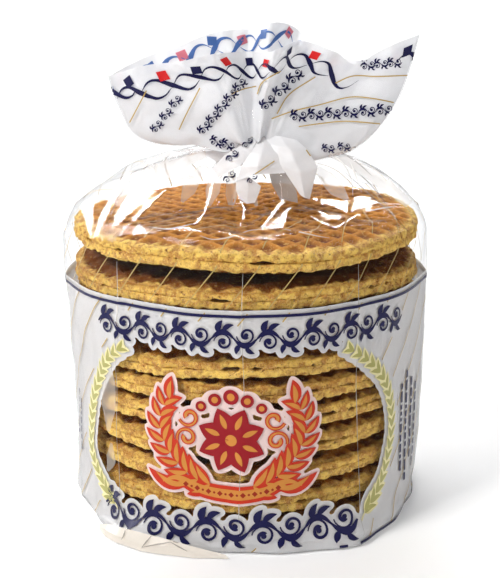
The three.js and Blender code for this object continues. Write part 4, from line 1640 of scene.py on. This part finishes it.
@dataclass
class Print:
    """All the print of the bag, and the painted light and shade at the film's creases, as thin pieces just
    under the film's face.
    """

    side: SideDesign = field(default_factory=SideDesign)
    fan: FanDesign = field(default_factory=FanDesign)
    creases: CreaseLightAndShade = field(default_factory=CreaseLightAndShade)
    # How far from the neck the white of the fan starts: directions in degrees from +X, and radii.
    white_reach: tuple = (
        (-180, 20), (-166, 12), (-150, 12.5), (-132, 8), (-60, 8), (-48, 12), (-30, 14), (-17, 12), (0, 18),
        (40, 24), (120, 25), (180, 20))
    # How far the white reaches round the vines and ears, and the pale red round the garland.
    halo: float = 1.25
    blush: float = 0.9
    # Where the fan's and the shoulder's print on sights start, and where the shoulder's gold lines end, in v.
    fan_from: float = 100.0
    shoulder_from: float = 81.0
    gold_top: float = 104.0

    def field_piece(self, name: str, ink: Ink, film: FilmMap, us: Array, vs: Array, level: Array) -> Piece:
        """Makes one printed field from a level over a grid."""
        flat, faces = level_faces(us, vs, level)
        return make_film_piece(name, film.at(flat[:, 0], flat[:, 1], ink.depth), faces, ink.finish.material())

    def side_pieces(self, film: FilmMap) -> list[Piece]:
        """Makes the print of the side, which is the same on both halves of the bag."""
        side = self.side
        count = round(2 * side.half_width / side.step)
        us = np.linspace(-side.half_width, side.half_width, count + 1)
        vs = np.linspace(side.foot_v, side.top_v, round((side.top_v - side.foot_v) / side.step))
        vines, ears, garland = side.vines(), side.ears(), side.garland()
        near = Closeness(us, vs, vines + ears)
        edge = np.minimum(vs - side.foot_v + 0.01, side.top_v + 0.01 - vs)[None]
        white = np.minimum(np.maximum(-side.window(us, vs), near.field + self.halo), edge)
        white[[0, -1]] = np.maximum(white[[0, -1]], 0.01)
        blush = Closeness(us, vs, garland).field + self.blush
        near.field = np.maximum(near.field, np.where(white > 0.6, Closeness.FAR, 0.0))
        strokes = vines + ears + garland + side.bars() + side.lines(near)
        pieces, laid = [], []
        for half, shift in (("front", 0.0), ("back", 2 * side.half_width)):
            laid += [stroke.moved((shift, 0.0)) for stroke in strokes]
            pieces.append(self.field_piece(f"white_{half}", Ink.WHITE, film, us + shift, vs, white))
            pieces.append(self.field_piece(f"blush_{half}", Ink.BLUSH, film, us + shift, vs, blush))
        return pieces + Sheet("side", film.at, laid).build()

    def shoulder_lines(self) -> list[Stroke]:
        """The gold lines over the clear film between the side's print and the fan's."""
        side = self.side
        v = np.arange(side.top_v + 0.4, self.gold_top, 0.8)
        spacing = 2 * side.half_width / side.gold_count
        starts = [-side.half_width + spacing * n for n in range(2 * side.gold_count)]
        return [Stroke(Ink.GOLD, np.stack([start + v / side.gold_slope, v], -1), np.full(len(v), 0.27))
                for start in starts]

    def fan_pieces(self, film: FilmMap, folds: tuple) -> list[Piece]:
        """Makes the print of the fan and of the gathered film.

        Args:
            film: The finished film.
            folds: The loose folds, which the print runs over.

        Returns:
            The white of the fan, and one piece for each ink of each sheet.
        """
        shape = film.shape
        us = np.append(shape.u, shape.u[0] + shape.around)
        vs = film.ways[film.ways > self.fan_from]
        directions, radii = np.array(self.white_reach, float).T
        reach = np.interp((np.degrees(us / shape.bag_radius) - 90 + 180) % 360 - 180, directions, radii)
        share = (shape.bag_radius - reach) / (shape.bag_radius - shape.shoulder_radius)
        level = vs[None] - (shape.shoulder_foot + shape.shoulder_length * share)[:, None]
        white = self.field_piece("white_fan", Ink.WHITE, film, us, vs, level)
        around = MouthMap(film)
        behind = SightMap(film, self.fan_from, (), behind=True)
        sheets = (
            Sheet("mouth", around.at, self.fan.mouth(around)),
            Sheet("shoulder", film.at, self.shoulder_lines()),
            Sheet("spread", SightMap(film, self.fan_from, folds).at, self.fan.spread()),
            Sheet("spread_behind", behind.at, self.fan.spread_behind()),
            Sheet("shoulder_crease_light_and_shade", SightMap(film, self.shoulder_from, ()).at, self.creases.on_shoulder()),
            Sheet("side_crease_highlights_and_sheen", film.at, self.creases.on_side()),
        )
        return [white] + [piece for sheet in sheets for piece in sheet.build()]

    def build(self, film: FilmMap, folds: tuple) -> list[Piece]:
        """Makes all the print, also that on the loose folds."""
        return self.side_pieces(film) + self.fan_pieces(film, folds)


# ---- The wafels ----


@dataclass
class Wafel:
    """How one wafel lies in the stack."""

    name: str
    # The height of its seam, its place, how far it leans at its rim, its bow and the direction of that, and
    # the direction of its lattice.
    middle: float
    x: float
    y: float
    lean_x: float
    lean_y: float
    bow: float
    start: float
    turn: float
    on_top: bool = False


class WaferRings:
    """The rings of one baked wafer, with how dark their points are from the hollows and painted shade, and
    how far on the rim they lie.
    """

    def __init__(self, angle: Array) -> None:
        """Starts without rings, for points in the given directions."""
        self.angle = angle
        self.places, self.pits, self.rims = [], [], []

    def add(self, radius: Array, height: Array | float, pit: Array | float, rim: Array | float) -> None:
        """Adds a ring, with how dark it is from the hollows and painted shade, and how far on the rim it
        lies, from 0 to 1.
        """
        full = np.ones_like(self.angle)
        self.places.append(polar(radius, self.angle, height))
        self.pits.append(pit * full)
        self.rims.append(rim * full)


@dataclass
class WafelStack:
    """Ten syrup wafels, each of two baked wafers with syrup between them."""

    radius: float = 50.0
    half: float = 3.75
    rim_drop: float = 1.1
    rim_start: float = 43.5
    slope_end: float = 49.0
    lattice_pitch: float = 5.4
    lattice_turn: float = 45.0
    ridge_width: float = 1.7
    wall_width: float = 0.9
    pit_depth: float = 1.0
    columns: int = 508
    # The rings of the top wafel's face, and the radii of the plainer faces that the others hide.
    fine_rings: int = 60
    plain_rings: tuple = (1.5, 22.0, 36.0, 43.5)
    # Painted shade: how dark a plain face is under the film, and in the stack.
    open_shade: float = 1.0
    hidden_shade: float = 0.62
    # The rim: shares of the way down for its rings, its bulge, and how far inside it the wafer closes.
    rim_rings: tuple = (0.12, 0.3, 0.5, 0.7, 0.88, 1.0)
    bulge: float = 0.45
    inside: tuple = (1.2, 3.0)
    # The height of each wafel's lower rim, from the bottom one up.
    levels: tuple = (3.0, 11.4, 19.1, 27.6, 35.0, 42.1, 49.8, 59.0, 68.4, 79.3)
    # How far wafels are askew by chance: off the middle, leaning, and turned.
    stray: float = 0.35
    lean: float = 0.3
    twist: float = 0.7
    top_lie: tuple = (0.0, 0.0, 0.3, 0.4, 0.6, -0.9)
    top_twist: float = 0.04
    # The syrup's rings, as shares of its edge's radius and heights, and how far it stays inside the rim.
    syrup_rings: tuple = ((0.1, -0.25), (0.97, -0.25), (1.0, -0.12), (1.0, 0.12), (0.97, 0.25), (0.1, 0.25))
    syrup_inset: float = 1.5
    seed: int = 5

    def __post_init__(self) -> None:
        """Draws the noises that roughen the wafels."""
        self.lumps = LatticeNoise(21)
        self.grains = LatticeNoise(22)
        self.draw = np.random.default_rng(self.seed)
        self.angle = TAU * np.arange(self.columns) / self.columns

    def wafel(self, number: int, level: float) -> Wafel:
        """How one wafel lies, by its number and its lower rim's height: by chance, but for the top one."""
        on_top = number == len(self.levels)
        near, lean = self.draw.uniform(-1, 1, 2) * self.stray, self.draw.uniform(-1, 1, 2) * self.lean
        lie = (*near, *lean, self.draw.uniform(0.35, 0.75), self.draw.uniform(0, TAU))
        if on_top:
            lie = self.top_lie
        twist = self.top_twist if on_top else self.draw.uniform(-self.twist, self.twist)
        turn = math.radians(self.lattice_turn) + twist
        return Wafel(f"wafel_{number:02d}", level + self.half - self.rim_drop, *lie, turn, on_top)

    def relief(self, x: Array, y: Array, turn: float) -> Array:
        """How deep in a hollow of the pressed lattice places lie, from 0 on a ridge to 1."""
        c, s = math.cos(turn), math.sin(turn)
        a, b = (c * x + s * y) / self.lattice_pitch, (-s * x + c * y) / self.lattice_pitch
        to_ridge = np.minimum(0.5 - np.abs(a - np.floor(a) - 0.5), 0.5 - np.abs(b - np.floor(b) - 0.5))
        wall = (to_ridge * self.lattice_pitch - self.ridge_width / 2) / self.wall_width
        return smooth(wall + 0.45)

    def seam(self, level: float) -> Array:
        """How far each wafer stays off the seam between them: mostly closed, open in short dashes."""
        circle = polar(50, self.angle, level)
        dashes = self.grains.at(circle, 2.6) + 0.7 * self.lumps.at(circle, 9.0)
        return 0.01 + 0.5 * smooth((dashes - 0.42) / 0.2)

    def lie(self, grid: Array, wafel: Wafel) -> Array:
        """Sets points at their height in the stack, leaning and bowed as their wafel lies."""
        share = np.hypot(grid[..., 0], grid[..., 1]) / self.radius
        angle = np.arctan2(grid[..., 1], grid[..., 0])
        warp = wafel.bow * np.cos(2 * angle + wafel.start) + 0.35 * np.sin(5 * angle + 2 * wafel.start)
        lean = (wafel.lean_x * grid[..., 0] + wafel.lean_y * grid[..., 1]) / self.radius
        height = wafel.middle + lean + warp * share ** 3
        return grid + np.stack([np.full_like(share, wafel.x), np.full_like(share, wafel.y), height], -1)

    def add_face(self, rings: WaferRings, outline: Array, wafel: Wafel, fine: bool) -> None:
        """Adds the rings of a wafer's pressed face, down to the foot of its slope.

        Args:
            rings: The wafer's rings.
            outline: Its radius in each direction.
            wafel: The wafel that it belongs to.
            fine: Whether the whole face is seen.
        """
        flat = np.linspace(self.plain_rings[0], self.rim_start, self.fine_rings) if fine else self.plain_rings
        # Painted shade: plain faces darken to their shade value, a little less towards the rim, and on them
        # the rim's gold starts later on the slope.
        rim_from = 0.5 if fine else 0.78
        shade = self.open_shade if wafel.middle > self.levels[-2] else self.hidden_shade
        for radius in [*flat, *np.linspace(self.rim_start + 0.7, self.slope_end, 8)]:
            share = max(0.0, (radius - self.rim_start) / (self.slope_end - self.rim_start))
            around = radius / self.slope_end * (outline - 0.6)
            pit = self.relief(around * np.cos(self.angle), around * np.sin(self.angle), wafel.turn)
            height = self.half - self.pit_depth * pit * (1 - 0.3 * share) - self.rim_drop * share ** 1.6
            shaded = pit * (1 - 0.5 * share) if fine else np.maximum(pit, shade - 0.35 * share ** 3)
            rings.add(around, height, shaded, float(smooth((share - rim_from) / (1 - rim_from))))

    def add_rim(self, rings: WaferRings, outline: Array, gap: Array, overhang_shade: Array | float) -> None:
        """Adds the rings of a wafer's rim and of its inner side.

        Args:
            rings: The wafer's rings.
            outline: Its radius in each direction.
            gap: How far its edge stays off the seam.
            overhang_shade: How much painted shade darkens its upper edge, under the wafel above.
        """
        top = self.half - self.rim_drop - 0.15
        for drop in self.rim_rings:
            bulge = self.bulge * math.sin(math.pi * (0.3 + 0.4 * drop)) - 0.06 * drop ** 4
            # Painted shade at the rim's upper edge, under the wafel above, uneven round the rim.
            edge_shade = 0.8 * max(0.0, 1 - drop / 0.66) * overhang_shade
            rings.add(outline + bulge, mix(top, gap, drop), 0.75 * edge_shade, 1 - 0.12 * drop ** 3 - edge_shade)
        for radius, height in ((outline - self.inside[0], gap + 0.05), (outline - self.inside[1], 0.3),
                               (outline * 0.05, 0.3)):
            rings.add(radius, height, 0.8, 0.5)

    def roughen(self, grid: Array, rim: Array, offset: Array) -> Array:
        """Roughens a wafer's points, most of all at its rim.

        Args:
            grid: Its rings' points, which are changed.
            rim: How far on the rim each point lies.
            offset: The wafer's own place in the noise.

        Returns:
            The grain at each point, from -1 to 1.
        """
        where = grid + offset
        grain, lump = self.grains.at(where, 1.1), self.lumps.at(where, 6.0)
        rough = mix(0.14, 0.4, rim)
        rough[-3:] = 0.1
        grid[..., 2] += rough * grain + 0.25 * lump * (1 - rim)
        reach = 1 + rim * (0.5 * self.grains.at(where + 9.7, 1.2) + 0.2 * lump) / self.radius
        grid[..., :2] *= reach[..., None]
        return grain

    def wafer(self, wafel: Wafel, up: bool, look: Material) -> Piece:
        """Makes one of a wafel's two baked wafers.

        Args:
            wafel: How the wafel lies.
            up: Whether this is the upper wafer.
            look: Its finish.

        Returns:
            The wafer.
        """
        fine = up and wafel.on_top
        offset = np.array([0.0, 0.0, wafel.middle * 3 + (31.0 if up else 0.0)])
        circle = polar(1, self.angle)
        outline = self.radius - 0.5 + 0.5 * self.lumps.at(circle * 14 + offset, 5.0)
        outline += 0.3 * self.grains.at(circle * 50 + offset, 3.2)
        # Painted shade under the wafel above, on every upper wafer but the top wafel's own.
        painted_overhang_shade = np.clip(1.0 + 0.7 * self.lumps.at(circle * 50 + offset, 8.0), 0.3, 1.2)
        rings = WaferRings(self.angle)
        self.add_face(rings, outline, wafel, fine)
        self.add_rim(rings, outline, self.seam(wafel.middle), painted_overhang_shade if up and not fine else 0.0)
        grid, rim = np.array(rings.places), np.array(rings.rims)
        grain = self.roughen(grid, rim, offset)
        faces = closed_faces(len(grid), self.columns)
        if up:
            faces = [face[::-1] for face in faces]
        else:
            grid[..., 2] *= -1
        name = f"{wafel.name}_{'upper' if up else 'lower'}_wafer"
        piece = self.dressed(make_object(name, self.lie(grid, wafel).reshape(-1, 3), faces), look)
        set_attribute(piece, "pit", np.array(rings.pits))
        set_attribute(piece, "rim", rim)
        set_attribute(piece, "grain", 0.5 + 0.5 * grain)
        return piece

    def syrup(self, wafel: Wafel, look: Material) -> Piece:
        """Makes the layer of syrup in one wafel, with a ragged edge just inside the rim."""
        angle = self.angle[::2]
        circle = polar(1, angle, wafel.middle / 10)
        edge = self.radius - self.syrup_inset + 0.4 * self.lumps.at(circle * 30, 4.0)
        edge = edge + 0.3 * self.grains.at(circle * 50, 2.0)
        rings = np.array([polar(share * edge, angle, height) for share, height in self.syrup_rings])
        points = self.lie(rings, wafel).reshape(-1, 3)
        piece = make_object(f"{wafel.name}_syrup", points, closed_faces(len(rings), len(angle)))
        return self.dressed(piece, look)

    def dressed(self, piece: Piece, look: Material) -> Piece:
        """Gives a piece its finish."""
        piece.data.materials.append(look)
        return piece

    def build(self) -> list[Piece]:
        """Makes and dresses all the wafels."""
        baked, caramel = BakedWafer().material(), Syrup().material()
        pieces = []
        for number, level in enumerate(self.levels, start=1):
            wafel = self.wafel(number, level)
            pieces += [self.wafer(wafel, False, baked), self.syrup(wafel, caramel),
                       self.wafer(wafel, True, baked)]
        return pieces


# ---- The bag ----


@dataclass
class Bag:
    """The film, its print and its tie."""

    shape: FilmShape = field(default_factory=FilmShape)
    gather: Gather = field(default_factory=Gather)
    inks: Print = field(default_factory=Print)

    def build_film(self, film: FilmMap) -> Piece:
        """Makes the clear film, which stands for the bag's solid."""
        rows, columns = film.grid.shape[:2]
        faces = ring_faces(rows, columns).tolist() + [list(range(columns))[::-1]]
        piece = make_film_piece("film", film.grid.reshape(-1, 3), faces, ClearFilm().material())
        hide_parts("bag")
        return piece

    def dress_tie(self) -> None:
        """Gives the tie its finish."""
        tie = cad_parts["neck_tie"]
        tie.data.materials.clear()
        tie.data.materials.append(TieStrip().material())

    def build(self) -> list[Piece]:
        """Makes and dresses all of it."""
        film = FilmMap(self.shape)
        self.dress_tie()
        return [self.build_film(film), *self.gather.build(), *self.inks.build(film, self.gather.folds)]


# ---- The studio ----


@dataclass(frozen=True)
class SoftBox:
    """A soft box that faces a target, with places and sizes in millimetres."""

    name: str
    place: tuple
    size: tuple
    power: float
    color: Color = PURE_WHITE
    target: tuple = (0, 0, 60)
    glints_only: bool = False

    def build(self) -> None:
        """Adds it; where it is for glints only, it lights no matt surface."""
        data = bpy.data.lights.new(self.name, "AREA")
        data.shape = "RECTANGLE"
        data.size, data.size_y = self.size[0] * MM, self.size[1] * MM
        data.energy = self.power
        data.color = self.color
        lamp = bpy.data.objects.new(self.name, data)
        lamp.location = Vector(self.place) * MM
        lamp.rotation_euler = (Vector(self.target) * MM - lamp.location).to_track_quat("-Z", "Y").to_euler()
        lamp.visible_diffuse = not self.glints_only
        bpy.context.scene.collection.objects.link(lamp)


@dataclass
class Studio:
    """The white sweep, the soft lights and the camera."""

    distance: float = 350.0
    elevation: float = 15.12
    aim: tuple = (1.1, 0.0, 61.1)
    lens: float = 72.44
    # The sweep: how far its floor runs to the front and the back, the radius of its curve, how high its wall
    # goes, half its width, and how far it lies under the bag.
    floor: tuple = (-900.0, 500.0)
    curve: float = 400.0
    curve_steps: int = 24
    wall_top: float = 1400.0
    half_width: float = 1600.0
    drop: float = 0.02
    lamps: tuple = (
        SoftBox("key", (-420, -340, 520), (200, 240), 4.0, (1.0, 0.985, 0.96)),
        SoftBox("top", (-60, 260, 560), (420, 200), 1.7),
        SoftBox("fill", (520, -420, 240), (300, 300), 0.6, (1.0, 0.97, 0.93)),
        SoftBox("glint_left", (-420, 60, 330), (240, 420), 11.0, glints_only=True),
        SoftBox("glint_top", (60, 330, 430), (520, 160), 5.5, glints_only=True),
        *(SoftBox(f"glint_over_{x}", (x, 130, 600), (130, 100), 9.5, glints_only=True) for x in (-170, 30)),
        *(SoftBox(f"wash_{side}", (620 * side, 330, 420), (400, 500), 2.4, target=(120 * side, 900, 330))
          for side in (-1, 1)),
    )
    room_color: tuple = (0.97, 0.98, 1.0, 1.0)
    room_strength: float = 0.25
    # How many layers of film and print a line of sight can pass.
    clear_layers: int = 24

    def build(self) -> None:
        """Sets it all up."""
        self.add_floor()
        for lamp in self.lamps:
            lamp.build()
        self.add_room()
        self.add_camera()

    def add_floor(self) -> None:
        """Makes the sweep: a floor that curves up far behind."""
        front, back = self.floor
        turns = np.linspace(0, math.pi / 2, self.curve_steps)[1:]
        profile = [(front, 0.0), (back, 0.0)]
        profile += [(back + self.curve * math.sin(turn), self.curve * (1 - math.cos(turn))) for turn in turns]
        profile.append((back + self.curve, self.wall_top))
        points = [(x, y, z - self.drop) for y, z in profile for x in (-self.half_width, self.half_width)]
        faces = [(2 * k, 2 * k + 1, 2 * k + 3, 2 * k + 2) for k in range(len(profile) - 1)]
        floor = make_object("sweep", np.array(points), faces)
        floor.data.materials.append(Paper().material())

    def add_room(self) -> None:
        """Sets the room's soft light and how the picture shows its colours."""
        world = bpy.data.worlds.new("room")
        world.use_nodes = True
        background = world.node_tree.nodes["Background"]
        background.inputs["Color"].default_value = self.room_color
        background.inputs["Strength"].default_value = self.room_strength
        scene = bpy.context.scene
        scene.world = world
        scene.view_settings.view_transform = "Standard"
        scene.view_settings.look = "None"
        scene.cycles.transparent_max_bounces = self.clear_layers

    def add_camera(self) -> None:
        """Adds the camera, which looks down on the bag a little."""
        data = bpy.data.cameras.new("camera")
        data.lens = self.lens
        data.sensor_width = 36.0
        data.clip_start = 0.01
        camera = bpy.data.objects.new("camera", data)
        tilt = math.radians(self.elevation)
        back = Vector((0.0, -math.cos(tilt), math.sin(tilt)))
        camera.location = (Vector(self.aim) + self.distance * back) * MM
        camera.rotation_euler = (-back).to_track_quat("-Z", "Y").to_euler()
        bpy.context.scene.collection.objects.link(camera)
        bpy.context.scene.camera = camera


def main() -> None:
    """Builds the studio, the wafels and the bag, and sets every piece on the frame."""
    logging.basicConfig(level=logging.INFO, format="%(message)s")
    Studio().build()
    pieces = WafelStack().build() + Bag().build()
    for piece in pieces:
        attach(piece, "root")
        log.info("%s: %d faces", piece.name, len(piece.data.polygons))


if __name__ == "__main__":
    main()
